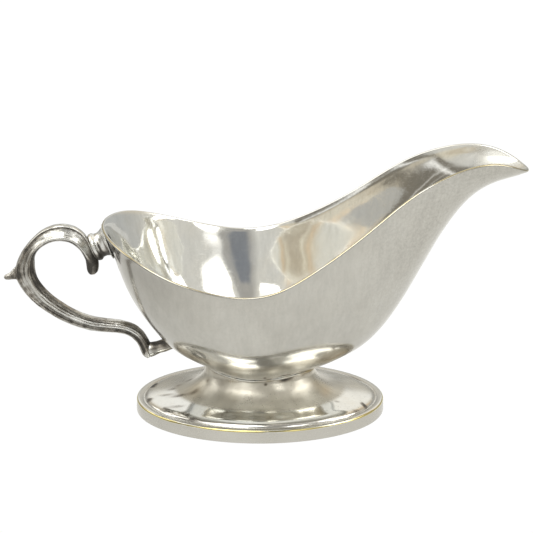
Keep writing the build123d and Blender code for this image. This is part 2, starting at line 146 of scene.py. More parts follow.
# ----------------------------------------------------------------------------
# Curves
# ----------------------------------------------------------------------------
def locate(xs, x):
    x = np.clip(np.asarray(x, float), xs[0], xs[-1])
    return x, np.clip(np.searchsorted(xs, x) - 1, 0, len(xs) - 2)


def natural(xs, ys):
    """Natural cubic spline through the points."""
    xs, ys = np.asarray(xs, float), np.asarray(ys, float)
    size, step = len(xs), np.diff(xs)
    matrix, right = np.zeros((size, size)), np.zeros(size)
    matrix[0, 0] = matrix[-1, -1] = 1.0
    for i in range(1, size - 1):
        matrix[i, i - 1:i + 2] = step[i - 1], 2 * (step[i - 1] + step[i]), step[i]
        right[i] = 6 * ((ys[i + 1] - ys[i]) / step[i] - (ys[i] - ys[i - 1]) / step[i - 1])
    bend = np.linalg.solve(matrix, right)

    def at(x):
        x, i = locate(xs, x)
        ahead, behind, gap = xs[i + 1] - x, x - xs[i], step[i]
        return ((bend[i] * ahead**3 + bend[i + 1] * behind**3) / (6 * gap)
                + (ys[i] / gap - bend[i] * gap / 6) * ahead
                + (ys[i + 1] / gap - bend[i + 1] * gap / 6) * behind)

    return at


def hermite(part, start, start_slope, end, end_slope):
    return ((2 * part**3 - 3 * part**2 + 1) * start
            + (part**3 - 2 * part**2 + part) * start_slope
            + (-2 * part**3 + 3 * part**2) * end + (part**3 - part**2) * end_slope)


def pchip(xs, ys):
    """Cubic curve through the points that never overshoots them."""
    xs, ys = np.asarray(xs, float), np.asarray(ys, float)
    step = np.diff(xs)
    rise = np.diff(ys) / step
    slope = np.zeros(len(xs))
    slope[0], slope[-1] = rise[0], rise[-1]
    for i in range(1, len(xs) - 1):
        if rise[i - 1] * rise[i] > 0:
            before, after = 2 * step[i] + step[i - 1], step[i] + 2 * step[i - 1]
            slope[i] = (before + after) / (before / rise[i - 1] + after / rise[i])

    def at(x):
        x, i = locate(xs, x)
        return hermite((x - xs[i]) / step[i], ys[i], step[i] * slope[i],
                       ys[i + 1], step[i] * slope[i + 1])

    return at


def smooth(start, end, x):
    part = np.clip((np.asarray(x, float) - start) / (end - start), 0, 1)
    return part * part * (3 - 2 * part)


def bell(x, middle, width):
    return np.exp(-((x - middle) / width) ** 2)


def chord_run(rows):
    return np.r_[0, np.cumsum(np.hypot(np.diff(rows[:, 0]), np.diff(rows[:, 1])))]


def along(rows, count, curve=natural):
    """Resamples rows of numbers along the chord length of their first two columns."""
    rows = np.asarray(rows, float)
    run = chord_run(rows)
    places = np.linspace(0, run[-1], count)
    return np.stack([curve(run, column)(places) for column in rows.T], 1)


def round_angles(count):
    return np.linspace(0, 2 * math.pi, count, endpoint=False)


def waves(points, seed, scale, count=14):
    """Repeatable smooth unevenness, about -1 to 1; scale is the wavelength."""
    rng = np.random.default_rng(seed)
    out = np.zeros(len(points))
    for _ in range(count):
        wave = rng.normal(size=3)
        wave *= 2 * math.pi / (np.linalg.norm(wave) * scale * rng.uniform(0.7, 1.6))
        out += np.sin(points @ wave + rng.uniform(0, 2 * math.pi))
    return out / math.sqrt(count / 2) / 1.6


# ----------------------------------------------------------------------------
# The bowl's outer face as a function of x and y
# ----------------------------------------------------------------------------
WIDTH_SQUARED = natural(BOWL[:, 0], BOWL[:, 1] ** 2)
RIM = natural(BOWL[:, 0], BOWL[:, 2])
DEPTH = natural(BOWL[:, 0], BOWL[:, 2] - BOWL[:, 3])
FULLNESS = pchip(BOWL[:, 0], BOWL[:, 4])
BOWL_START, BOWL_END = BOWL[0, 0], BOWL[-1, 0]
EDGE_ROOT = math.sqrt(1 - SECTION_ROUNDNESS)
FLOOR_Z = float(RIM(0.0) - DEPTH(0.0)) - LIP_CROWN


def slope_of(curve, x, reach=1e-3):
    low, high = np.maximum(x - reach, BOWL_START), np.minimum(x + reach, BOWL_END)
    return (curve(high) - curve(low)) / (high - low)


def bowl_surface(x, y):
    """Height of the outer face, and its unit normal towards the inside of the bowl."""
    x, y = np.asarray(x, float), np.asarray(y, float)
    safe_x = np.clip(x, BOWL_START + 0.03, BOWL_END - 0.03)
    width_sq = np.maximum(WIDTH_SQUARED(safe_x), 1e-4)
    depth = np.maximum(DEPTH(safe_x), 0)
    fullness = FULLNESS(safe_x)
    # part is (y / half width) squared; the section mixes a parabola and a full oval
    part = np.clip(y * y / np.maximum(WIDTH_SQUARED(x), 1e-6), 0, 1)
    root = np.sqrt(1 - SECTION_ROUNDNESS * part)
    full = (root - EDGE_ROOT) / (1 - EDGE_ROOT)
    section = (1 - fullness) * (1 - part) + fullness * full
    z = RIM(x) - np.maximum(DEPTH(x), 0) * section - LIP_CROWN
    by_part = -(1 - fullness) - fullness * SECTION_ROUNDNESS / (2 * root) / (1 - EDGE_ROOT)
    slope_y = -(depth / width_sq) * by_part * 2 * np.sqrt(part * width_sq) * np.sign(y)
    slope_x = (slope_of(RIM, safe_x) - slope_of(DEPTH, safe_x) * section
               + (depth / width_sq) * by_part * part * slope_of(WIDTH_SQUARED, safe_x)
               - depth * (full - (1 - part)) * slope_of(FULLNESS, safe_x))
    # level the bottom round the origin
    radius = np.maximum(np.hypot(x, y), 1e-9)
    share = smooth(FLAT_RADIUS, FLAT_RADIUS + FLAT_BLEND, radius)
    run = np.clip((radius - FLAT_RADIUS) / FLAT_BLEND, 0, 1)
    share_slope = 6 * run * (1 - run) / FLAT_BLEND
    slope_x = slope_x * share + (z - FLOOR_Z) * share_slope * x / radius
    slope_y = slope_y * share + (z - FLOOR_Z) * share_slope * y / radius
    z = FLOOR_Z + (z - FLOOR_Z) * share
    normal = np.stack([-slope_x, -slope_y, np.ones_like(slope_x)], -1)
    return z, normal / np.linalg.norm(normal, axis=-1, keepdims=True)


# ----------------------------------------------------------------------------
# Mesh helpers
# ----------------------------------------------------------------------------
def shade_smooth(mesh):
    mesh.polygons.foreach_set("use_smooth", [True] * len(mesh.polygons))


def link_object(name, mesh):
    obj = bpy.data.objects.new(name, mesh)
    bpy.context.scene.collection.objects.link(obj)
    return obj


def new_mesh(name, verts, faces):
    mesh = bpy.data.meshes.new(name)
    verts = (np.asarray(verts, float) * MM).tolist()
    mesh.from_pydata(verts, [], [list(map(int, face)) for face in faces])
    obj = link_object(name, mesh)
    shade_smooth(mesh)
    mesh.update()
    return obj


def grid_faces(rows, cols, close_rows=False):
    """Quads over rows of closed rings; close_rows joins the last ring to the first."""
    row, col = np.meshgrid(np.arange(rows if close_rows else rows - 1), np.arange(cols),
                           indexing="ij")
    row2, col2 = (row + 1) % rows, (col + 1) % cols
    corners = [row * cols + col, row * cols + col2, row2 * cols + col2, row2 * cols + col]
    return np.stack(corners, -1).reshape(-1, 4)


def tidy(obj, weld=None):
    """Turns all faces outwards; weld (in metres) first merges coinciding vertices."""
    bm = bmesh.new()
    bm.from_mesh(obj.data)
    if weld:
        bmesh.ops.remove_doubles(bm, verts=bm.verts, dist=weld)
    bmesh.ops.recalc_face_normals(bm, faces=bm.faces)
    bm.to_mesh(obj.data)
    bm.free()
    obj.data.update()
    return obj


def closed_tube(name, rings):
    rows, cols = rings.shape[:2]
    return tidy(new_mesh(name, rings.reshape(-1, 3), grid_faces(rows, cols, close_rows=True)))


def capped(rings, turn_first=False):
    """Vertices and faces of stacked rings with a fan at each end.

    turn_first winds the first fan the other way round.
    """
    rows, cols = rings.shape[:2]
    verts = rings.reshape(-1, 3).tolist()
    faces = grid_faces(rows, cols).tolist()
    for row in (0, rows - 1):
        centre = len(verts)
        verts.append(rings[row].mean(0).tolist())
        for j in range(cols):
            edge = [row * cols + j, row * cols + (j + 1) % cols]
            faces.append([centre] + (edge[::-1] if turn_first and row == 0 else edge))
    return verts, faces


def coords(obj):
    flat = np.empty(len(obj.data.vertices) * 3)
    obj.data.vertices.foreach_get("co", flat)
    return flat.reshape(-1, 3) / MM


def normals(obj):
    flat = np.empty(len(obj.data.vertices) * 3)
    obj.data.vertices.foreach_get("normal", flat)
    return flat.reshape(-1, 3)


def set_coords(obj, points):
    obj.data.vertices.foreach_set("co", (points * MM).ravel())
    obj.data.update()


def push(obj, points, distance):
    """Places the vertices at points, moved along their normals."""
    set_coords(obj, points + normals(obj) * distance[:, None])


def store(obj, name, values):
    attribute = obj.data.attributes.new(name, "FLOAT", "POINT")
    attribute.data.foreach_set("value", values.astype(np.float32))


def stored(obj, name):
    values = np.empty(len(obj.data.vertices))
    obj.data.attributes[name].data.foreach_get("value", values)
    return values


def mark(obj, **values):
    """Stores per-vertex numbers from 0 to 1 that the materials read."""
    for name, numbers in values.items():
        store(obj, name, np.clip(np.asarray(numbers, float), 0, 1))


def remark(obj, name, values):
    values = np.clip(values, 0, 1).astype(np.float32)
    obj.data.attributes[name].data.foreach_set("value", values)


def near(points, centre, radius):
    offset = (points - np.asarray(centre, float)) / np.asarray(radius, float)
    return np.exp(-(offset ** 2).sum(1))


def with_spots(values, points, spots):
    """Adds soft spots, each a centre, radii along x, y, z and a strength."""
    for centre, radius, strength in spots:
        values = values + strength * near(points, centre, radius)
    return values


def oval_place(points, half):
    """Distance from the z axis, 1 on the oval with the given half sizes."""
    return np.hypot(points[:, 0] / half[0], points[:, 1] / half[1])


def neighbour_mean(obj, values, rounds):
    edges = np.empty(len(obj.data.edges) * 2, int)
    obj.data.edges.foreach_get("vertices", edges)
    first, second = edges.reshape(-1, 2).T
    size = len(obj.data.vertices)
    count = np.bincount(edges, minlength=size).astype(float)[:, None]
    values = np.asarray(values, float)
    for _ in range(rounds):
        total = np.zeros_like(values)
        for k in range(values.shape[1]):
            total[:, k] = (np.bincount(first, values[second, k], size)
                           + np.bincount(second, values[first, k], size))
        values = 0.5 * values + 0.5 * total / np.maximum(count, 1)
    return values


def hollows(obj, rounds, scale):
    """How far each vertex lies under the averaged surface (0 to 1): high in crevices."""
    points = coords(obj)
    gap = ((neighbour_mean(obj, points, rounds) - points) * normals(obj)).sum(1)
    return np.clip(gap / scale, 0, 1), np.clip(-gap / scale, 0, 1)


# ----------------------------------------------------------------------------
# Bowl: a grid from the keel line to the rim, outside and inside
# ----------------------------------------------------------------------------
LIP_STEPS = 8


def rim_points(count):
    """Evenly spaced x and y along half the rim, from the spout end to the handle end."""
    turn = np.linspace(0, math.pi, 6001)
    x = (BOWL_START + BOWL_END) / 2 + (BOWL_END - BOWL_START) / 2 * np.cos(turn)
    y = np.sqrt(np.maximum(WIDTH_SQUARED(x), 0))
    steps = np.sqrt(np.diff(x) ** 2 + np.diff(y) ** 2 + np.diff(RIM(x)) ** 2)
    run = np.r_[0, np.cumsum(steps)]
    x = np.interp(np.linspace(0, run[-1], count), run, x)
    y = np.sqrt(np.maximum(WIDTH_SQUARED(x), 0))
    y[0] = y[-1] = 0
    return x, y


def lip_rings(sheet_edge, outer, inner, normal):
    """Half-round rings from the outer to the inner edge; sheet_edge is the bare outer face."""
    rise = sheet_edge[-1] - sheet_edge[-3]
    tangent = np.roll(sheet_edge[-1], -1, 0) - np.roll(sheet_edge[-1], 1, 0)
    tangent /= np.linalg.norm(tangent, axis=1, keepdims=True)
    rise -= (rise * tangent).sum(1)[:, None] * tangent
    rise -= (rise * normal).sum(1)[:, None] * normal
    rise /= np.linalg.norm(rise, axis=1, keepdims=True)
    middle, half = (outer + inner) / 2, (inner - outer) / 2
    return np.array([
        middle - half * math.cos(angle) + rise * LIP_CROWN * 1.35 * math.sin(angle)
        for angle in np.linspace(0, math.pi, LIP_STEPS + 2)[1:-1]])


def build_bowl(half=240, rows=80):
    half_x, half_y = rim_points(half + 1)
    rim_x = np.r_[half_x, half_x[-2:0:-1]]
    rim_y = np.r_[half_y, -half_y[-2:0:-1]]
    cols = len(rim_x)
    keel_x = KEEL_START + (rim_x - BOWL_START) / (BOWL_END - BOWL_START) * (KEEL_END - KEEL_START)
    part = np.sin(np.linspace(0, 1, rows) * math.pi / 2)[:, None]
    x = (1 - part) * keel_x + part * rim_x
    y = part * rim_y
    z, normal = bowl_surface(x, y)
    face = np.stack([x, y, z], -1)
    steps = np.linalg.norm(np.diff(face, axis=0), axis=2)
    run = np.cumsum(np.r_[np.zeros((1, cols)), steps], axis=0)
    rest = run[-1] - run
    thick = WALL + (LIP - WALL) * smooth(LIP_DEPTH, 0.3, rest)
    flat = face.reshape(-1, 3)
    dent_out = 0.030 * waves(flat, seed=5, scale=30) + 0.010 * waves(flat, seed=6, scale=11)
    dent_in = 0.050 * waves(flat, seed=7, scale=26) + 0.016 * waves(flat, seed=8, scale=10)
    fade = smooth(0.0, 7.0, rest)
    # the sheet is set inwards below the rim, so the last few millimetres lean outwards
    flare = (1.05 * (1 - np.exp(-rest / 3.0)) * smooth(34.0, 7.0, rest)
             * smooth(14.0, 48.0, run[-1])[None, :])
    inner = face + normal * (thick + flare + fade * dent_in.reshape(rows, cols))[..., None]
    outer = face + normal * (flare + fade * dent_out.reshape(rows, cols))[..., None]
    lip = lip_rings(face, outer[-1], inner[-1], normal[-1])
    sheet = np.concatenate([outer, lip, inner[::-1]])
    lip_inside = np.repeat(np.linspace(0.1, 0.9, LIP_STEPS)[:, None], cols, 1)
    inside = np.concatenate([np.zeros((rows, cols)), lip_inside, np.ones((rows, cols))])
    from_rim = np.concatenate([rest, np.zeros((LIP_STEPS, cols)), rest[::-1]])
    obj = new_mesh("bowl_sheet", sheet.reshape(-1, 3), grid_faces(len(sheet), cols))
    mark(obj, inside=inside.ravel())
    store(obj, "from_rim", from_rim.ravel())
    # the two sides of the keel line coincide
    tidy(obj, weld=1e-7)
    shade_smooth(obj.data)
    return obj


# ----------------------------------------------------------------------------
# Foot, its band and solder rings: oval rings stacked through a closed profile
# ----------------------------------------------------------------------------
def oval_rings(profile, cols):
    """profile: rows of (half length, half width, z)."""
    profile = np.asarray(profile, float)
    angle = round_angles(cols)
    return np.stack([profile[:, 0:1] * np.cos(angle), profile[:, 1:2] * np.sin(angle),
                     np.repeat(profile[:, 2:3], cols, 1)], -1)


def build_foot():
    outer = along(FOOT[:, [0, 2, 1]], 100)[:, [0, 2, 1]]
    forward = np.gradient(outer[:, [0, 2]], axis=0)
    forward /= np.linalg.norm(forward, axis=1)[:, None]
    offset = np.c_[-forward[:, 1], forward[:, 0]] * FOOT_WALL     # towards the hollow side
    inner = outer + offset[:, [0, 0, 1]]
    inner = inner[inner[:, 0] < INNER_LIMIT]
    # growth of the neck's oval and depth below the bowl, up outside and down inside
    neck = [(NECK_HALF[0] + growth, NECK_HALF[1] + growth, drop) for growth, drop in (
        (0.12, NECK_GAP + 0.9), (0.0, NECK_GAP), (-FOOT_WALL, NECK_GAP),
        (0.1 - FOOT_WALL, NECK_GAP + 0.9))]
    rings = oval_rings(np.vstack([SKIRT_OUT, outer, neck, inner[::-1], SKIRT_IN]), cols=320)
    top = len(SKIRT_OUT) + len(outer)
    scribed = rings[top:top + len(neck)]
    scribed[..., 2] = bowl_surface(scribed[..., 0], scribed[..., 1])[0] - scribed[..., 2]
    obj = closed_tube("foot_shell", rings)
    points = coords(obj)
    lift = 0.035 * waves(points, seed=21, scale=17) + 0.015 * waves(points, seed=22, scale=7)
    push(obj, points, lift * smooth(0.92, 0.80, oval_place(points, FOOT_HALF))
         * smooth(19.5, 16, points[:, 2]))
    return obj


def build_band():
    profile = [(FOOT_HALF[0] + offset, FOOT_HALF[1] + offset, z) for offset, z in BAND]
    obj = closed_tube("foot_band", oval_rings(profile, cols=360))
    points = coords(obj)
    z = points[:, 2]
    upright = (smooth(1.0, 1.6, z) * smooth(4.7, 4.2, z)
               * (oval_place(points, FOOT_HALF) > 0.985))
    push(obj, points, 0.03 * waves(points, seed=31, scale=15) * upright)
    return obj


def build_band_solder():
    profile = []
    for angle in round_angles(14):
        bulge = 0.62 * math.cos(angle)
        profile.append((51.20 + bulge, 37.25 + bulge, 5.72 + 0.20 * math.sin(angle)))
    obj = closed_tube("foot_band_solder_line", oval_rings(profile, cols=360))
    points = coords(obj)
    push(obj, points, 0.05 * waves(points, seed=41, scale=3.2))
    return obj


def build_neck_solder():
    angle = round_angles(320)
    length, width = NECK_HALF
    path = np.stack([length * np.cos(angle), width * np.sin(angle), 0 * angle], 1)
    size = 0.50 + 0.10 * waves(path, seed=51, scale=5)
    rings = []
    for turn in round_angles(16):
        reach = 0.05 + size * 1.35 * math.cos(turn)
        x, y = (length + reach) * np.cos(angle), (width + reach) * np.sin(angle)
        z, _ = bowl_surface(x, y)
        rise = size * 0.9 * math.sin(turn)
        rings.append(np.stack([x, y, z - 0.42 + rise - 0.25 * np.maximum(reach, 0)], 1))
    rings = np.array(rings)
    # nothing of the ring goes through the sheet above it
    z, _ = bowl_surface(rings[..., 0], rings[..., 1])
    rings[..., 2] = np.minimum(rings[..., 2], z + 0.10)
    return closed_tube("foot_neck_solder_ring", rings)


# ----------------------------------------------------------------------------
# Handle: swept bar with a ridge and hollow flanks, spur joined in one casting
# ----------------------------------------------------------------------------
def side_points(side, count=34):
    """Closed outline of the bar from one half outline."""
    run = chord_run(side)
    places = np.linspace(0, run[-1], count)
    points = np.stack([pchip(run, side[:, 0])(places), natural(run, side[:, 1])(places)], 1)
    points[0, 1] = points[-1, 1] = 0
    return np.r_[points, points[-2:0:-1] * [1, -1]]


def sweep(name, rows, count, outline):
    stations = along(rows, count)
    angle = np.radians(stations[:, 3])
    outline = np.broadcast_to(outline, (count,) + outline.shape[-2:])
    across, half = outline[..., 0], stations[:, 2]
    rings = np.zeros(outline.shape[:2] + (3,))
    rings[..., 0] = stations[:, 0:1] + across * (half * np.cos(angle))[:, None]
    rings[..., 2] = stations[:, 1:2] + across * (half * np.sin(angle))[:, None]
    rings[..., 1] = outline[..., 1] * stations[:, 4:5]
    return tidy(new_mesh(name, *capped(rings, turn_first=True)))


def join_and_remesh(name, parts, voxel, relax):
    bm = bmesh.new()
    for part in parts:
        bm.from_mesh(part.data)
    mesh = bpy.data.meshes.new(name)
    bm.to_mesh(mesh)
    bm.free()
    for part in parts:
        bpy.data.objects.remove(part)
    obj = link_object(name, mesh)
    remesh = obj.modifiers.new("cast", "REMESH")
    remesh.mode = "VOXEL"
    remesh.voxel_size = voxel * MM
    remesh.use_smooth_shade = True
    bpy.context.view_layer.update()
    graph = bpy.context.evaluated_depsgraph_get()
    fresh = bpy.data.meshes.new_from_object(obj.evaluated_get(graph), depsgraph=graph)
    obj.modifiers.clear()
    obj.data = fresh
    fresh.name = name
    shade_smooth(fresh)
    relaxed = neighbour_mean(obj, coords(obj), relax)
    # a second, opposite pass keeps the bar from thinning
    softer = neighbour_mean(obj, relaxed, 2)
    set_coords(obj, relaxed + (relaxed - softer) * 0.8)
    return obj


def build_handle():
    count = 420
    part = np.linspace(0, 1, count)[:, None, None]
    lower = smooth(0.42, 0.58, part)
    outline = side_points(UPPER_SIDE) * (1 - lower) + side_points(LOWER_SIDE) * lower
    # both ends close as plain rounded lobes
    plain = smooth(0.10, 0.02, part) + smooth(0.965, 0.995, part)
    angle = round_angles(outline.shape[1])
    lobe = np.stack([np.cos(angle), np.sin(angle) * 0.92], 1)
    bar = sweep("bar", HANDLE, count, outline * (1 - plain) + lobe * plain)
    angle = round_angles(28)
    lens = np.stack([np.cos(angle), np.sin(angle) * (1 - 0.15 * np.cos(angle) ** 2)], 1)
    spur = sweep("spur", SPUR, 60, lens)
    obj = join_and_remesh("handle_casting", [bar, spur], voxel=0.225, relax=2)
    # soften the root of the spur
    points = coords(obj)
    blend = np.clip(1.6 * near(points, (-102.6, 0, 64.4), (3.4, 30, 4.2)), 0, 1)[:, None]
    for _ in range(9):
        points = points + (neighbour_mean(obj, points, 2) - points) * blend
    set_coords(obj, points)
    push(obj, points, 0.050 * waves(points, seed=61, scale=6.0, count=20)
         + 0.030 * waves(points, seed=62, scale=2.2, count=24))
    return obj


def along_handle(points):
    """Place along the bar (0 to 1) and across it (-1 inner edge to 1 outer edge)."""
    stations = along(HANDLE, 300)
    best, least = np.zeros(len(points), int), np.full(len(points), 1e9)
    for k, station in enumerate(stations):
        distance = (points[:, 0] - station[0]) ** 2 + (points[:, 2] - station[1]) ** 2
        closer = distance < least
        best[closer], least[closer] = k, distance[closer]
    mid_x, mid_z, half, angle = stations[best, :4].T
    angle = np.radians(angle)
    offset = (points[:, 0] - mid_x) * np.cos(angle) + (points[:, 2] - mid_z) * np.sin(angle)
    return best / (len(stations) - 1), offset / half


# ----------------------------------------------------------------------------
# Socket and lug, which join the handle to the bowl, and their solder
# ----------------------------------------------------------------------------
SIDEWAYS = np.array([0, 1.0, 0])


def tilted(tilt):
    """Axis of a fitting towards the bowl, and the direction square to it upwards."""
    angle = math.radians(tilt)
    return (np.array([math.cos(angle), 0, math.sin(angle)]),
            np.array([-math.sin(angle), 0, math.cos(angle)]))


def reach_bowl(start, direction, far=26.0, steps=260):
    """Walks each start point along direction to the bowl's outer face."""
    high = np.full(len(start), far)

    def outside(points):
        x, y, z = points.T
        beyond = (x <= BOWL_START) | (y ** 2 >= WIDTH_SQUARED(x))
        return beyond | (z < bowl_surface(x, y)[0])

    for k in range(1, steps + 1):               # first crossing
        run = far * k / steps
        hit = ~outside(start + direction * run)
        high[hit & (high == far)] = run
    low = high - far / steps
    for _ in range(30):                         # halved down to the face
        middle = (low + high) / 2
        out = outside(start + direction * middle[:, None])
        low, high = np.where(out, middle, low), np.where(out, high, middle)
    return start + direction * low[:, None]


def fitting(name, rows, tilt, centre, flare, cols=96, tail=14):
    """A turned fitting whose last ring is scribed to the bowl.

    rows: (run, radius upwards, radius in y); flare widens the scribed ring.
    """
    axis, upward = tilted(tilt)
    angle = round_angles(cols)
    rise, side = np.cos(angle), np.sin(angle)

    def ring(run, radius_up, radius_side):
        return (centre + axis * run + np.outer(rise * radius_up, upward)
                + np.outer(side * radius_side, SIDEWAYS))

    rings = [ring(*row) for row in rows]
    last_run, radius_up, radius_side = rows[-1]
    landing = reach_bowl(ring(last_run, radius_up + flare, radius_side + flare), axis)
    start = rings[-1]
    slope = start - rings[-2]
    gap = np.linalg.norm(landing - start, axis=1)[:, None]
    slope = slope / np.linalg.norm(slope, axis=1)[:, None] * gap
    outward = np.outer(rise, upward) + np.outer(side, SIDEWAYS)
    end_slope = (outward * 0.8 + axis * 0.35) * gap
    for k in range(1, tail + 1):
        rings.append(hermite(k / tail, start, slope * 0.8, landing, end_slope))
    verts, faces = capped(np.array(rings))
    # the centre of the cap on the bowl's side stays under the sheet
    x, y, z = verts[-1]
    verts[-1][2] = min(z, float(bowl_surface(np.array([x]), np.array([y]))[0][0]) - 0.05)
    return tidy(new_mesh(name, verts, faces)), landing


def build_socket():
    rows = along(SOCKET, 46, pchip)
    return fitting("handle_socket", rows, SOCKET_TILT, SOCKET_CENTRE, flare=0.9)


def build_lug():
    axis_x = tilted(LUG_TILT)[0][0]
    rows = [((x - LUG_CENTRE[0]) / axis_x, up, side) for x, up, side in LUG]
    return fitting("handle_lug", along(rows, 24, pchip), LUG_TILT, LUG_CENTRE, flare=0.7)


def solder_bead(name, ring, seed, radius=0.42, sides=12):
    """A lumpy fillet along the closed ring where a fitting meets the bowl."""
    tangent = np.roll(ring, -1, 0) - np.roll(ring, 1, 0)
    tangent /= np.linalg.norm(tangent, axis=1)[:, None]
    _, normal = bowl_surface(ring[:, 0], ring[:, 1])
    normal = -(normal - (normal * tangent).sum(1)[:, None] * tangent)
    normal /= np.linalg.norm(normal, axis=1)[:, None]
    side = np.cross(tangent, normal)
    size = radius * (1 + 0.25 * waves(ring, seed=seed, scale=2.6))
    return closed_tube(name, np.array([
        ring + normal * (math.sin(angle) * size * 0.75)[:, None]
        + side * (math.cos(angle) * size * 1.15)[:, None] for angle in round_angles(sides)]))


bowl = build_bowl()
foot = build_foot()
band = build_band()
band_solder = build_band_solder()
neck_solder = build_neck_solder()
handle = build_handle()
socket, socket_ring = build_socket()
lug, lug_ring = build_lug()
upper_solder = solder_bead("upper_solder_fillet", socket_ring, seed=71)
lower_solder = solder_bead("lower_solder_fillet", lug_ring, seed=72)

# ----------------------------------------------------------------------------
# Where the metal is worn through, and where it is dark: tarnish, and painted shade under the socket
# and the bowl and on the handle's spur.
# Spots are (centre, radii, strength).
# ----------------------------------------------------------------------------
# Outside of the bowl by the socket and the lug
BOWL_SPOTS = [
    ((-63.5, -7.5, 73.0), (2.2, 3.0, 4.2), 1), ((-60.8, -12.0, 75.0), (3.5, 2.5, 1.3), 1),
    ((-62.0, -9.5, 70.0), (1.6, 1.8, 2.6), 1), ((-43, -2.5, 34.0), (2.2, 2.8, 2.0), 1),
    ((-41, 0, 28.5), (2.2, 3.4, 1.6), 1), ((-62.6, -19.5, 80.5), (1.5, 2.0, 3.4), 0.8),
    ((-60.8, -19.8, 76.6), (1.3, 1.8, 2.6), 0.8), ((-65.3, -15.0, 80.0), (1.6, 2.0, 1.8), 0.65),
    ((-63.0, -17.0, 76.5), (2.2, 2.0, 1.4), 0.7), ((-66.5, -11.0, 83.0), (1.2, 3.0, 2.2), 0.6),
]
FOOT_SPOTS = [
    ((-29.5, 6.5, 9.4), (3.4, 1.8, 3), 0.8), ((-35.5, 3.5, 7.6), (2.2, 1.6, 3), 0.55),
    ((-38.5, 0.5, 7.2), (2.6, 1.8, 3), 0.6), ((-40.0, -5.0, 7.0), (4.5, 1.5, 2), 0.75),
    ((-34.0, -8.0, 8.2), (5.5, 1.6, 2), 0.65), ((-28.0, -9.0, 10.5), (3.0, 1.8, 3), 0.55),
    ((-36.0, -18.0, 6.9), (5, 1.6, 2), 0.5), ((33.6, -14, 7.2), (1.6, 1.2, 2), 0.7),
    ((-21.5, -14.0, 16.0), (1.5, 1.2, 1.2), 0.8), ((-23.8, -8.5, 17.0), (1.6, 1.2, 1.4), 0.7),
    ((-17.0, -17.0, 14.8), (0.8, 0.8, 0.7), 0.95), ((-13.5, -18.2, 14.6), (0.9, 0.8, 0.6), 0.85),
    ((-19.5, -16.5, 15.4), (0.9, 0.8, 0.6), 0.8), ((2.5, -17.6, 18.2), (0.8, 0.8, 0.6), 0.85),
    ((11.0, -15.6, 19.6), (3.2, 2.0, 0.9), 0.8),
]
# Blots along the foot's shoulder: first and last angle, strength
FOOT_BLOTS = [(160, 192, 0.95), (-152, -126, 1.0), (-33, -12, 0.95), (-64, -52, 0.35),
              (20, 40, 0.5), (115, 140, 0.5)]
# Handle: painted shade where the bar runs under the socket and where it meets the lug under the
# bowl, faint painted shade on the back of the loop, and painted shade on the spur
HANDLE_SPOTS = [
    ((-71.5, 0, 71.5), (2.6, 9, 6.5), 0.95), ((-72.8, 0, 66.0), (2.2, 9, 3.0), 0.35),
    ((-51.5, 0, 33.5), (3.2, 9, 3.0), 0.45), ((-49.5, 0, 29.5), (3.0, 9, 3.0), 0.5),
    ((-99, 0, 70), (3.5, 9, 6), 0.18), ((-105.5, 0, 63.6), (3.4, 9, 2.6), 0.38),
    ((-109.5, 0, 61.8), (4.5, 9, 1.6), 0.42),
]
# Socket: painted shade on its underside, and a dark seam where it flares onto the bowl
SOCKET_SPOTS = [((-68.5, 0, 71.5), (3.8, 9, 3.2), 0.85), ((-66, -3, 76.5), (1.4, 9, 5.0), 0.35)]
# Lug: painted shade along its top, under the bowl
LUG_SPOTS = [((-46.5, 0, 30.5), (2.2, 9, 3.0), 0.6), ((-41.5, 0, 31.5), (2.6, 9, 4.0), 0.55),
             ((-45.5, 0, 31.8), (3.6, 9, 0.9), 0.75)]


def mark_bowl():
    points = coords(bowl)
    x, _, z = points.T
    inside, from_rim = stored(bowl, "inside"), stored(bowl, "from_rim")
    crown = bell(inside, 0.40, 0.26) * (from_rim < 0.35)
    outside = inside < 0.05
    grime = with_spots(np.zeros(len(points)), points, BOWL_SPOTS) * outside
    # a dark ring round the neck
    grime += (bell(oval_place(points, NECK_HALF), 1.03, 0.03) * outside * (z < 30)
              * (0.25 + 0.35 * waves(points, seed=82, scale=7)))
    mark(bowl, wear=crown * (0.80 + 0.25 * waves(points, seed=81, scale=16)), grime=grime,
         polish=smooth(30.5, 26.5, z),
         mottle=smooth(28, 78, x) * smooth(116, 96, x) * outside,
         worn_tip=smooth(90.0, 97.0, x) * smooth(0.45, 0.75, inside)
         * (0.88 + 0.16 * waves(points, seed=83, scale=9)))


def shoulder_angle(points):
    return np.degrees(np.arctan2(points[:, 1] / SHOULDER_HALF[1],
                                 points[:, 0] / SHOULDER_HALF[0]))


def sector(points, first, last, soft=5.0):
    """1 where the angle round the foot lies between two values."""
    middle, half_width = (first + last) / 2, (last - first) / 2
    offset = np.abs((shoulder_angle(points) - middle + 180) % 360 - 180)
    return smooth(half_width + soft, half_width - soft, offset)


def foot_film(points, edge):
    """Darkness of the thin film on the foot, uneven round it."""
    angle, z = shoulder_angle(points), points[:, 2]
    broad = np.stack([angle * 0.30, angle * 0.11, 0.15 * z], 1)
    narrow = np.stack([angle, angle * 0, 0.1 * z], 1)
    film = (0.50 + 0.22 * waves(broad, seed=98, scale=9)
            + 0.10 * waves(narrow, seed=99, scale=7))
    film += (-0.15 * sector(points, -92, -62, soft=6) + 0.12 * sector(points, -132, -96, soft=8)
             - 0.55 * near(points, (20.6, -17.2, 11.6), (2.6, 3.2, 3.0)))
    film += 0.50 * sector(points, 105, 214, soft=14) * smooth(0.55, 0.72, edge)
    return np.clip(film, -0.3, 1.35)


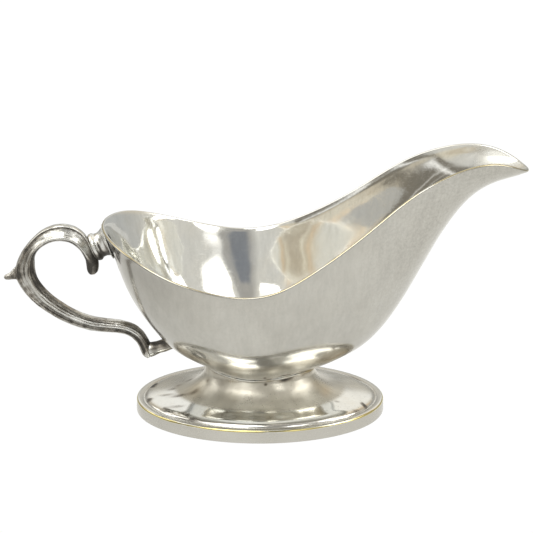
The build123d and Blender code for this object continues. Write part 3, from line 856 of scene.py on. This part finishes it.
def mark_foot():
    points = coords(foot)
    _, y, z = points.T
    edge = oval_place(points, SHOULDER_HALF)
    grime = 0.34 * smooth(17.6, 20.0, z) * (0.5 + 0.5 * waves(points, seed=91, scale=6))
    grime += bell(edge, 0.985, 0.022) * 0.30
    blots = smooth(-0.15, 0.55, waves(points, seed=92, scale=7.5))
    for first, last, strength in FOOT_BLOTS:
        grime += sector(points, first, last) * bell(edge, 0.965, 0.035) * blots * strength
    grime = with_spots(grime, points, FOOT_SPOTS)
    top_side = smooth(-0.15, 0.15, normals(foot)[:, 2])
    under = (0.16 + 0.22 * smooth(0.0, 0.9, waves(points, seed=93, scale=11))
             + 0.25 * smooth(16.0, 19.0, z))
    mark(foot, grime=grime * top_side + under * (1 - top_side), wear=np.zeros(len(points)),
         polish=top_side * smooth(0.69, 0.77, edge) * (1 - 0.80 * smooth(-6, 6, y)),
         film=foot_film(points, edge))


def mark_band():
    points = coords(band)
    z = points[:, 2]
    edge = oval_place(points, FOOT_HALF)
    bead = bell(z, 5.62, 0.50) * smooth(0.966, 0.985, edge)
    crease = smooth(0.945, 0.936, edge) * smooth(4.9, 5.2, z)
    mark(band, wear=bead * (0.86 + 0.25 * waves(points, seed=95, scale=18)),
         grime=crease * 0.5 + 0.4 * smooth(0.35, 0.0, z),
         polish=smooth(5.1, 5.4, z) * smooth(0.975, 0.984, edge))


def mark_casting(obj, rounds, scale, spots):
    """Tarnish in the crevices, and dark spots that are partly painted shade; returns it before it
    is limited to 0 to 1.
    """
    deep, high = (neighbour_mean(obj, values[:, None], 2)[:, 0]
                  for values in hollows(obj, rounds, scale))
    points = coords(obj)
    grime = with_spots(0.95 * deep, points, spots)
    mark(obj, grime=grime, wear=high, polish=np.zeros(len(points)))
    return grime


def mark_handle():
    grime = mark_casting(handle, rounds=26, scale=0.16, spots=HANDLE_SPOTS)
    points = coords(handle)
    run, across = along_handle(points)
    store(handle, "run", run)
    store(handle, "across", across)
    upper = smooth(0.56, 0.44, run)
    # painted shade on the bar's inner face, stronger along the upper arc where it faces down
    inner_face_shade = smooth(-0.42, -0.62, across) * (0.55 * upper + 0.35 * (1 - upper))
    # painted shade: dark lines lengthwise in the hollows of the flanks
    outer_line = bell(across, 0.74, 0.07) * 0.6
    ridge_line = bell(across, -0.28, 0.05) * 0.7 * (1 - upper)
    inner_line = bell(across, -0.58, 0.06) * 0.6
    # painted shade: upright stripes standing for grooves on the back of the loop, and shade on the
    # inner side of the bar's start under the socket
    ripple = np.cos(across * 15.0 + 2.2 * waves(points, seed=94, scale=14))
    back = near(points, (-99, 0, 67), (6, 30, 11)) * (0.22 + 0.55 * smooth(0.1, 0.8, ripple))
    back += smooth(0.10, 0.03, run) * smooth(-0.2, 0.5, -across) * 0.6
    painted_shade = inner_face_shade + outer_line + ridge_line + inner_line + back
    remark(handle, "grime", grime + painted_shade * (0.8 + 0.35 * waves(points, seed=97, scale=9)))


def mark_socket():
    mark_casting(socket, rounds=16, scale=0.14, spots=SOCKET_SPOTS)
    points = coords(socket)
    axis, upward = tilted(SOCKET_TILT)
    offset = points - SOCKET_CENTRE
    run, height = offset @ axis, offset @ upward
    # tarnish and painted shade in the three turned grooves, and painted shade on the underside
    dark = (0.85 * bell(run, -0.65, 0.30) + 0.75 * bell(run, 2.5, 0.55)
            + 0.55 * bell(run, 5.3, 0.40) + 0.60 * smooth(1.0, -4.0, height))
    remark(socket, "grime", stored(socket, "grime")
           + dark * (0.75 + 0.45 * waves(points, seed=96, scale=4)))


mark_bowl()
mark_foot()
mark_band()
mark_handle()
mark_socket()
mark_casting(lug, rounds=16, scale=0.14, spots=LUG_SPOTS)


# ----------------------------------------------------------------------------
# Node trees
# ----------------------------------------------------------------------------
class Value:
    """An output socket; arithmetic on it adds Math nodes."""

    def __init__(self, tree, output):
        self.tree = tree
        self.output = output

    def math(self, operation, other=0.0):
        return self.tree.math(operation, self, other)

    def __add__(self, other):
        return self.math("ADD", other)

    def __radd__(self, other):
        return self.tree.math("ADD", other, self)

    def __sub__(self, other):
        return self.math("SUBTRACT", other)

    def __rsub__(self, other):
        return self.tree.math("SUBTRACT", other, self)

    def __mul__(self, other):
        return self.math("MULTIPLY", other)

    def __abs__(self):
        return self.math("ABSOLUTE")

    def ramp(self, start, end, to=(0.0, 1.0)):
        """Soft step from to[0] at start to to[1] at end."""
        return self.tree.value(
            "ShaderNodeMapRange", {"Value": self, "From Min": start, "From Max": end,
                                   "To Min": to[0], "To Max": to[1]},
            output="Result", interpolation_type="SMOOTHSTEP")

    def above(self, edge, soft):
        """1 above the edge, with a border of the given softness."""
        return (self - edge).ramp(-soft, soft)

    def below(self, edge, soft):
        return (self - edge).ramp(soft, -soft)


class Tree:
    """The emptied node tree of a material or world. Inputs are given by name or number."""

    def __init__(self, owner):
        owner.use_nodes = True
        self.tree = owner.node_tree
        self.tree.nodes.clear()

    def node(self, kind, inputs=None, **props):
        node = self.tree.nodes.new(kind)
        for key, setting in props.items():
            setattr(node, key, setting)
        for key, source in (inputs or {}).items():
            if isinstance(source, Value):
                self.tree.links.new(source.output, node.inputs[key])
            else:
                node.inputs[key].default_value = source
        return node

    def value(self, kind, inputs=None, output=0, **props):
        return Value(self, self.node(kind, inputs, **props).outputs[output])

    def math(self, operation, first, second=0.0, clamp=False):
        return self.value("ShaderNodeMath", {0: first, 1: second, 2: 0.0},
                          operation=operation, use_clamp=clamp)

    def mix(self, factor, first, second):
        return self.value("ShaderNodeMix", {"Factor": factor, 6: first, 7: second}, output=2,
                          data_type="RGBA")

    def mix_numbers(self, factor, first, second):
        return self.value("ShaderNodeMix", {0: factor, 2: first, 3: second}, data_type="FLOAT")

    def scaled(self, vector, scale):
        return self.value("ShaderNodeVectorMath", {0: vector, "Scale": scale},
                          operation="SCALE")

    def noise(self, vector, scale, detail=3.0, roughness=0.5, distortion=0.0):
        return self.value(
            "ShaderNodeTexNoise", {"Vector": vector, "Scale": scale, "Detail": detail,
                                   "Roughness": roughness, "Distortion": distortion},
            output="Fac")

    def uneven(self, vector, scale, detail, roughness):
        """Noise about 0."""
        return self.noise(vector, scale, detail, roughness) - 0.5

    def stretch(self, vector, scale, turn=(0, 0, 0)):
        return self.value("ShaderNodeMapping", {
            "Vector": vector, "Scale": scale, "Rotation": [math.radians(angle) for angle in turn]},
            output="Vector")

    def attribute(self, name):
        return self.value("ShaderNodeAttribute", output="Fac", attribute_name=name)

    def separate(self, vector):
        node = self.node("ShaderNodeSeparateXYZ", {0: vector})
        return [Value(self, output) for output in node.outputs]


# ----------------------------------------------------------------------------
# Materials. Texture scales are per metre of the object; noise arguments are
# scale, detail and roughness.
# ----------------------------------------------------------------------------
SILVER = (0.800, 0.790, 0.745, 1)
SILVER_COOL = (0.790, 0.795, 0.775, 1)
SILVER_WARM = (0.770, 0.720, 0.620, 1)
BRASS = (0.500, 0.435, 0.200, 1)
BRASS_PALE = (0.440, 0.385, 0.245, 1)
# The black and brown below are tarnish colours that also paint shade under and between the handle's
# parts
TARNISH_AND_SHADE_BLACK = (0.060, 0.055, 0.048, 1)
BROWN_TARNISH_AND_SHADE = (0.180, 0.130, 0.075, 1)
STREAK_GREY = (0.165, 0.152, 0.130, 1)
TIP_GREY = (0.40, 0.39, 0.355, 1)

# Film on the foot: how far the haze colour is lifted, and darkened per channel
FILM_LIGHT, FILM_DARK = 1.28, (0.74, 0.72, 0.68)
# Hairline scratches: turn in degrees, scale
SCRATCHES = (((0, 0, 20), 1344), ((12, 70, -35), 1792), ((80, 20, 60), 1152))


def hazed(tree, place, colour, haze, filmed, has_inside):
    """A dull veil on unpolished outer faces."""
    covered = tree.attribute("polish").ramp(1.0, 0.0)
    if has_inside:
        covered = covered * tree.attribute("inside").ramp(0.9, 0.3)
    drift = tree.noise(place, 24, 6, 0.62).ramp(0.3, 0.7, to=(0.86, 1.0))
    if filmed:
        light = tuple(min(1.0, part * FILM_LIGHT) for part in haze[:3]) + (1,)
        dark = tuple(part * shade for part, shade in zip(haze[:3], FILM_DARK)) + (1,)
        haze = tree.mix(tree.attribute("film"), light, dark)
    return tree.mix(covered * drift, colour, haze)


def brushed_shade(tree, place, colour, strength, mottled):
    """Faint upright streaks and a fine grain left by polishing."""
    grain = tree.uneven(tree.stretch(place, (1, 1, 0.10)), 620, 3, 0.55)
    coarse = tree.uneven(tree.stretch(place, (1, 1, 0.16)), 170, 4, 0.6)
    speckle = tree.uneven(place, 1300, 3, 0.6)
    shade = (grain * (strength * 1.4) + coarse * (strength * 2.2)
             + speckle * (strength * 1.2))
    if mottled:
        cells = tree.uneven(place, 820, 4, 0.62)
        shade = shade + cells * tree.attribute("mottle") * 0.55
        shade = shade - tree.attribute("mottle") * 0.05
    return tree.scaled(colour, 1.0 + shade)


def hairlines(tree, place):
    lines = None
    for turn, scale in SCRATCHES:
        line = tree.noise(tree.stretch(place, (0.035, 1, 1), turn), scale, 2, 0.5)
        line = line.ramp(0.60, 0.70)
        lines = line if lines is None else lines.math("MAXIMUM", line)
    return lines


def streaked(tree, colour, strength):
    """Streaks that follow the handle: broad grey ones, then thin dark ones."""

    def drawn(run_scale, across_scale, detail):
        pair = tree.value("ShaderNodeCombineXYZ", {
            0: tree.attribute("run") * run_scale, 1: tree.attribute("across") * across_scale})
        return tree.noise(pair, 1.0, detail, 0.6)

    broad = drawn(run_scale=9.0, across_scale=9.0, detail=4)
    colour = tree.mix(broad.ramp(0.50, 0.66) * strength, colour, STREAK_GREY)
    thin = drawn(run_scale=30.0, across_scale=26.0, detail=3)
    return tree.mix(thin.ramp(0.57, 0.66) * (strength * 1.2), colour, TARNISH_AND_SHADE_BLACK)


def inside_finish(tree, place, colour, rough, inside, lines):
    """The bowl's bright inside, duller in the spout's tip."""
    share = tree.attribute("inside").ramp(0.3, 0.9)
    inner = tree.noise(place, 70, 4, 0.6).ramp(0.3, 0.7, to=inside) + lines * 0.05
    dull = tree.attribute("worn_tip")
    inner = inner + dull * 0.24
    return tree.mix(dull * 0.92, colour, TIP_GREY), tree.mix_numbers(share, rough, inner)


def worn_through(tree, place, colour, metal):
    ragged = tree.uneven(place, 260, 4, 0.6) * 0.5
    return tree.mix((tree.attribute("wear") + ragged).ramp(0.40, 0.72), colour, metal)


def tarnished_and_shaded(tree, place, colour, rough):
    """Returns colour, roughness and metallic with a brown bloom and black tarnish, which also paint
    shade under and between the handle's parts.
    """
    grime = tree.attribute("grime")
    broken = tree.uneven(place, 420, 5, 0.65) * 0.9
    black = (grime + broken * grime.ramp(0.02, 0.3)).ramp(0.15, 0.85)
    black = tree.math("ADD", black, 0.0, clamp=True)
    colour = tree.mix(grime.ramp(0.02, 0.55) * 0.55, colour, BROWN_TARNISH_AND_SHADE)
    return tree.mix(black, colour, TARNISH_AND_SHADE_BLACK), rough + black * 0.28, 1.0 - black * 0.45


def relief(tree, place, fine, lines, holes, scratch, pits, lumps, mottled):
    """Bump from grain, scratches, pits, casting lumps and the bowl's mottling."""
    height = fine * 0.0016 - lines * (0.0022 * scratch) - holes * (0.02 * pits)
    if lumps:
        height = height + tree.noise(place, 700, 4, 0.6) * lumps
    if mottled:
        mottle = tree.attribute("mottle")
        height = height + tree.uneven(place, 820, 4, 0.62) * mottle * 0.045
        height = height + tree.uneven(place, 210, 3, 0.55) * (0.25 + mottle) * 0.05
    return tree.value("ShaderNodeBump", {"Strength": 1.0, "Distance": 0.001, "Height": height})


def plated(name, rough, tone, scratch, pits, base=SILVER, pit_size=900, lumps=0.0, haze=None,
           polished=None, filmed=False, brushed=0.0, mottled=False, inside=None, streak=0.0,
           worn=None, grime=True):
    """Worn silver plate.

    rough, polished, inside: roughness ranges of plain, polished and inner faces;
    tone: warm blotches; worn: colour of the metal where the plate is worn through.
    """
    material = bpy.data.materials.new(name)
    tree = Tree(material)
    place = tree.value("ShaderNodeTexCoord", output="Object")
    cloud = tree.noise(place, 38, 4, 0.55, distortion=0.3)
    blotch = tree.noise(place, 120, 5, 0.6)
    fine = tree.noise(place, 1500, 3, 0.6)
    colour = tree.mix(cloud.ramp(0.35, 0.68), SILVER_COOL, base)
    colour = tree.mix(blotch.ramp(0.52, 0.75) * tone, colour, SILVER_WARM)
    if haze:
        colour = hazed(tree, place, colour, haze, filmed, has_inside=inside is not None)
    if brushed:
        colour = brushed_shade(tree, place, colour, brushed, mottled)

    lines = hairlines(tree, place)
    cells = tree.value("ShaderNodeTexVoronoi", {
        "Vector": place, "Scale": pit_size, "Randomness": 1.0}, output="Distance", feature="F1")
    holes = cells.ramp(0.22, 0.08) * tree.noise(place, 60, 3, 0.5).ramp(0.42, 0.62)
    roughness = tree.noise(place, 85, 4, 0.6).ramp(0.3, 0.7, to=rough)
    roughness = roughness + lines * (0.10 * scratch) + (fine - 0.5) * 0.10
    if polished:
        bright = tree.noise(place, 60, 3, 0.5).ramp(0.3, 0.7, to=polished)
        roughness = tree.mix_numbers(tree.attribute("polish"), roughness, bright)
    if streak:
        colour = streaked(tree, colour, streak)
    if inside:
        colour, roughness = inside_finish(tree, place, colour, roughness, inside, lines)
    if worn:
        colour = worn_through(tree, place, colour, worn)
    metallic = 1.0
    if grime:
        colour, roughness, metallic = tarnished_and_shaded(tree, place, colour, roughness)

    shader = tree.value("ShaderNodeBsdfPrincipled", {
        "Base Color": tree.mix(holes * pits, colour, TARNISH_AND_SHADE_BLACK),
        "Metallic": metallic,
        "Roughness": roughness.math("MAXIMUM", 0.03).math("MINIMUM", 0.85),
        "Normal": relief(tree, place, fine, lines, holes, scratch, pits, lumps, mottled)})
    tree.node("ShaderNodeOutputMaterial", {0: shader})
    return material


def cast(name, **settings):
    return plated(name, tone=0.6, scratch=0.4, pits=0.6, pit_size=1100, lumps=0.03, **settings)


def solder(name, **settings):
    return plated(name, scratch=0.2, grime=False, **settings)


PLATE_BOWL = plated(
    "plate_bowl", rough=(0.12, 0.18), tone=0.20, scratch=0.4, pits=0.10, pit_size=700,
    inside=(0.05, 0.09), polished=(0.05, 0.08), worn=BRASS_PALE, haze=(0.420, 0.409, 0.373, 1),
    mottled=True, brushed=0.10)
PLATE_FOOT = plated(
    "plate_foot", rough=(0.26, 0.34), tone=0.35, scratch=0.5, pits=0.3, pit_size=600,
    polished=(0.05, 0.09), worn=BRASS, haze=(0.475, 0.452, 0.392, 1), filmed=True, brushed=0.08)
PLATE_BAND = plated(
    "plate_band", rough=(0.20, 0.26), tone=0.3, scratch=0.4, pits=0.15, polished=(0.10, 0.14),
    worn=BRASS, haze=(0.475, 0.46, 0.42, 1))
CAST = cast("plate_cast", rough=(0.20, 0.30), base=(0.60, 0.59, 0.55, 1), streak=0.75)
CAST_FITTING = cast("plate_cast_fitting", rough=(0.18, 0.28), base=(0.39, 0.385, 0.355, 1))
SOLDER_BROWN = solder("solder_brown", rough=(0.30, 0.45), tone=0.8, pits=0.6, lumps=0.08,
                      base=(0.42, 0.34, 0.20, 1))
SOLDER_DARK = solder("solder_dark", rough=(0.40, 0.55), tone=0.8, pits=0.6, lumps=0.08,
                     base=(0.16, 0.145, 0.12, 1))
SOLDER_GREY = solder("solder_grey", rough=(0.25, 0.40), tone=0.9, pits=0.9, lumps=0.05,
                     base=(0.50, 0.48, 0.43, 1))

# object, material, CAD piece it stands for, material slot
for obj, material, piece, slot in (
    (bowl, PLATE_BOWL, "bowl", "plate_bowl"),
    (foot, PLATE_FOOT, "foot", "plate_foot"),
    (band, PLATE_BAND, "foot_rim_band", "plate_band"),
    (band_solder, SOLDER_GREY, "foot_band_solder", "solder"),
    (neck_solder, SOLDER_BROWN, "foot_neck_solder", "solder"),
    (handle, CAST, "handle", "plate_cast"),
    (socket, CAST_FITTING, "handle_upper_socket", "plate_cast"),
    (lug, CAST_FITTING, "handle_lower_lug", "plate_cast"),
    (upper_solder, SOLDER_DARK, "upper_handle_solder", "solder"),
    (lower_solder, SOLDER_DARK, "lower_handle_solder", "solder"),
):
    obj.data.materials.clear()
    obj.data.materials.append(material)
    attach(obj, "root")
    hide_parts(piece)

# ----------------------------------------------------------------------------
# Studio, in metres: white floor, soft boxes either side of the camera, grey room
# ----------------------------------------------------------------------------
scene = bpy.context.scene
scene.view_settings.view_transform = "Standard"
scene.view_settings.look = "None"
scene.view_settings.exposure = 0.0
scene.view_settings.gamma = 1.0

FLOOR_HALF = 3


def floor_material():
    """Plain white to the camera; to the metal, a glow that fades away from the bowl."""
    material = bpy.data.materials.new("white_sweep")
    tree = Tree(material)
    diffuse = tree.value("ShaderNodeBsdfDiffuse", {"Color": (0.22, 0.22, 0.215, 1)})
    x, y, _ = tree.separate(tree.value("ShaderNodeTexCoord", output="Object"))
    far = (x * x + y * y).math("SQRT")
    sheet = x.ramp(-0.17, -0.01, to=(0.46, 0.80)) * x.ramp(0.05, 0.25, to=(1.0, 1.08))
    front_end = y.ramp(0.05, -0.10) * far.ramp(0.30, 0.75, to=(0.0, 0.60))
    rear_end = y.ramp(0.0, 0.15) * far.ramp(0.30, 0.80, to=(0.0, 0.58))
    glow = tree.value("ShaderNodeEmission", {
        "Color": (1, 0.995, 0.97, 1),
        "Strength": sheet * ((1.0 - front_end) * (1.0 - rear_end))})
    reflected = tree.value("ShaderNodeAddShader", {0: diffuse, 1: glow})
    plain = tree.value("ShaderNodeEmission", {"Strength": 1.02})
    seen = tree.value("ShaderNodeLightPath", output="Is Camera Ray")
    picked = tree.value("ShaderNodeMixShader", {0: seen, 1: reflected, 2: plain})
    tree.node("ShaderNodeOutputMaterial", {0: picked})
    return material


def build_floor():
    mesh = bpy.data.meshes.new("floor")
    corners = [(FLOOR_HALF * x, FLOOR_HALF * y, 0) for x, y in ((-1, -1), (1, -1), (1, 1), (-1, 1))]
    mesh.from_pydata(corners, [], [(0, 1, 2, 3)])
    floor = link_object("floor", mesh)
    mesh.materials.append(floor_material())


# Room colours. Azimuth is 0 towards the camera (-Y) and grows towards +X; height is the
# elevation; both in degrees.
ROOM_FRONT = (0.74, 0.725, 0.675, 1)
BACK_LOW = (0.54, 0.54, 0.52, 1)
BACK_HIGH_SIDE = (0.78, 0.71, 0.58, 1)
BACK_HIGH_MIDDLE = (1.02, 1.00, 0.94, 1)
BEIGE = (0.80, 0.745, 0.61, 1)
GAP_GREY = (0.43, 0.42, 0.40, 1)
FIGURE_GREY = (0.25, 0.265, 0.29, 1)
HIGH_GAP_GREY = (0.43, 0.42, 0.39, 1)
CORNER_BROWN = (0.200, 0.180, 0.145, 1)
CAMERA_WHITE = (1.02, 1.02, 1.02, 1)
LAMP_TINT = (1.0, 1.0, 0.985)
# Upright stripes: azimuth, half width, colour
FRONT_STRIPES = (
    (-43.0, 1.6, (0.92, 0.76, 0.56, 1)), (-47.5, 1.0, (0.62, 0.54, 0.42, 1)),
    (-39.5, 0.8, (1.25, 1.15, 0.98, 1)))
BACK_STRIPES = (
    (133.0, 1.0, (1.35, 1.28, 1.12, 1)), (142.5, 3.4, (1.02, 0.79, 0.56, 1)),
    (149.5, 1.2, (1.25, 1.15, 0.98, 1)), (127.5, 2.6, (0.60, 0.52, 0.42, 1)))
# Leaning lines of light low on the left: azimuth, half width, strength
LOW_SLITS = ((-57.5, 0.5, 0.5), (-62.5, 0.4, 0.35), (-68.0, 0.6, 0.45))


def striped(tree, colour, azimuth, height, stripes, soft, bottom, top):
    for place, half_width, tint in stripes:
        share = (abs(azimuth - place).below(half_width, soft) * height.below(top, soft=4)
                 * height.above(bottom, soft=3) * 0.8)
        colour = tree.mix(share, colour, tint)
    return colour


def room_colour(tree, azimuth, height, high_gap):
    front = abs(azimuth).ramp(120, 75)
    back_high = tree.mix(abs(azimuth).ramp(140, 165), BACK_HIGH_SIDE, BACK_HIGH_MIDDLE)
    back = tree.mix(height.ramp(8, 26), BACK_LOW, back_high)
    colour = tree.mix(front, back, ROOM_FRONT)
    beige = azimuth.above(-52, soft=2) * azimuth.below(-38, soft=3) * height.below(20, soft=4)
    colour = tree.mix(beige * 0.9, colour, BEIGE)
    colour = striped(tree, colour, azimuth, height, FRONT_STRIPES, soft=0.8, bottom=-14, top=24)
    colour = striped(tree, colour, azimuth, height, BACK_STRIPES, soft=0.9, bottom=26, top=58)
    # grey gap around the camera, a darker figure in it
    gap = azimuth.above(-3, soft=5) * azimuth.below(17, soft=2) * height.below(48, soft=6)
    colour = tree.mix(gap * 0.95, colour, GAP_GREY)
    figure = (azimuth.above(1.5, soft=2.0) * azimuth.below(11.5, soft=1.5)
              * height.below(26, soft=3))
    colour = tree.mix(figure * 0.95, colour, FIGURE_GREY)
    colour = tree.mix(high_gap * 0.9, colour, HIGH_GAP_GREY)
    # brown corner of the room to the left, low
    corner = (azimuth.below(height.ramp(8, 26, to=(-49, -58)), soft=1.2)
              * azimuth.above(-86, soft=8)
              * height.below(azimuth.ramp(-78, -56, to=(44, 22)), soft=4))
    return tree.mix(corner * 0.95, colour, CORNER_BROWN)


def left_light(azimuth, height, box_end):
    """Left soft box, high, with a stepped lower border and a brighter upper part."""
    low_edge = azimuth.ramp(-34, -38, to=(25.5, 29.0)) + azimuth.ramp(-54, -68, to=(0, 20))
    box = (height.above(low_edge, soft=1.2) * height.below(72, soft=3)
           * azimuth.above(-92, soft=4) * azimuth.below(box_end, soft=2.0))
    bright = (height.above(44, soft=3) * azimuth.below(box_end - 2.5, soft=4)
              * azimuth.above(-57, soft=3) * 4.2)
    by_height = height.ramp(30, 37, to=(2.4, 0.55))
    return box * (azimuth.ramp(-52, -38, to=(0.15, by_height)) + bright)


def right_light(azimuth, height):
    """Right soft box: a leaning strip, and a second wall of light further round."""
    strip = (azimuth.above(height * 0.25 + 13.5, soft=1.2)
             * azimuth.below(height * 0.80 + 11.0, soft=2.0)
             * height.below(43, soft=3) * height.ramp(8, 24, to=(0.10, 1.0)))
    wall = (azimuth.above(63, soft=2.5) * azimuth.below(101, soft=3)
            * height.above(25, soft=2.5) * height.below(58, soft=5))
    leg = (azimuth.above(70, soft=1.5) * azimuth.below(80, soft=1.5)
           * height.above(9, soft=3) * height.below(30, soft=4))
    return strip * 2.2 + wall.math("MAXIMUM", leg) * height.ramp(34, 46, to=(2.6, 4.2))


def slit_light(azimuth, height):
    """A slanting line of light on the left, and the low lines beside it."""
    slant = abs(height - 23.0 + (azimuth + 70.0) * 0.75)
    slit = slant.below(1.2, soft=1.0) * azimuth.above(-72, soft=2) * azimuth.below(-50, soft=2)
    for place, half_width, strength in LOW_SLITS:
        offset = abs(azimuth - place + height * 0.12)
        slit = slit + (offset.below(half_width, soft=0.4) * height.above(-12, soft=3)
                       * height.below(20, soft=4) * strength)
    return slit


def build_world():
    world = bpy.data.worlds.new("studio")
    scene.world = world
    tree = Tree(world)
    x, y, z = tree.separate(tree.value("ShaderNodeTexCoord", output="Generated"))
    azimuth = x.math("ARCTAN2", y * -1.0) * (180 / math.pi)
    height = z.math("ARCSINE") * (180 / math.pi)
    # the left box ends here, further right the higher up; a dim gap follows it
    box_end = height.ramp(49, 55, to=(-9.5, 7.0))
    high_gap = (azimuth.above(box_end, soft=3) * azimuth.below(48, soft=3)
                * height.above(43, soft=3) * height.below(78, soft=6))
    colour = room_colour(tree, azimuth, height, high_gap)
    level = left_light(azimuth, height, box_end) + right_light(azimuth, height)
    side_left = (azimuth.above(-128, soft=4) * azimuth.below(-80, soft=4)
                 * height.above(20, soft=4) * height.below(54, soft=4))
    ceiling = height.above(52, soft=6) * abs(azimuth).ramp(50, 95, to=(0.15, 0.38))
    level = level + (slit_light(azimuth, height) * 0.9
                     + (ceiling * (1.0 - high_gap) + side_left * 1.6))
    total = tree.value("ShaderNodeVectorMath", {
        0: tree.scaled(colour, 1.0), 1: tree.scaled(LAMP_TINT, level)}, operation="ADD")
    seen = tree.value("ShaderNodeLightPath", output="Is Camera Ray")
    sky = tree.value("ShaderNodeBackground", {"Color": tree.mix(seen, total, CAMERA_WHITE)})
    tree.node("ShaderNodeOutputWorld", {0: sky})


# Camera: a long lens, square on to the side, looking slightly down
ELEVATION = math.radians(19.5)
TARGET = Vector((0.00287, 0.0, 0.06665))
CAMERA_DISTANCE = 1.3


def build_camera():
    lens = bpy.data.cameras.new("camera")
    lens.lens = 201.4
    lens.sensor_width = 36.0
    lens.clip_start = 0.01
    lens.clip_end = 30.0
    camera = link_object("camera", lens)
    direction = Vector((0, -math.cos(ELEVATION), math.sin(ELEVATION)))
    camera.location = TARGET + direction * CAMERA_DISTANCE
    camera.rotation_euler = (math.pi / 2 - ELEVATION, 0, 0)
    scene.camera = camera


build_floor()
build_world()
build_camera()
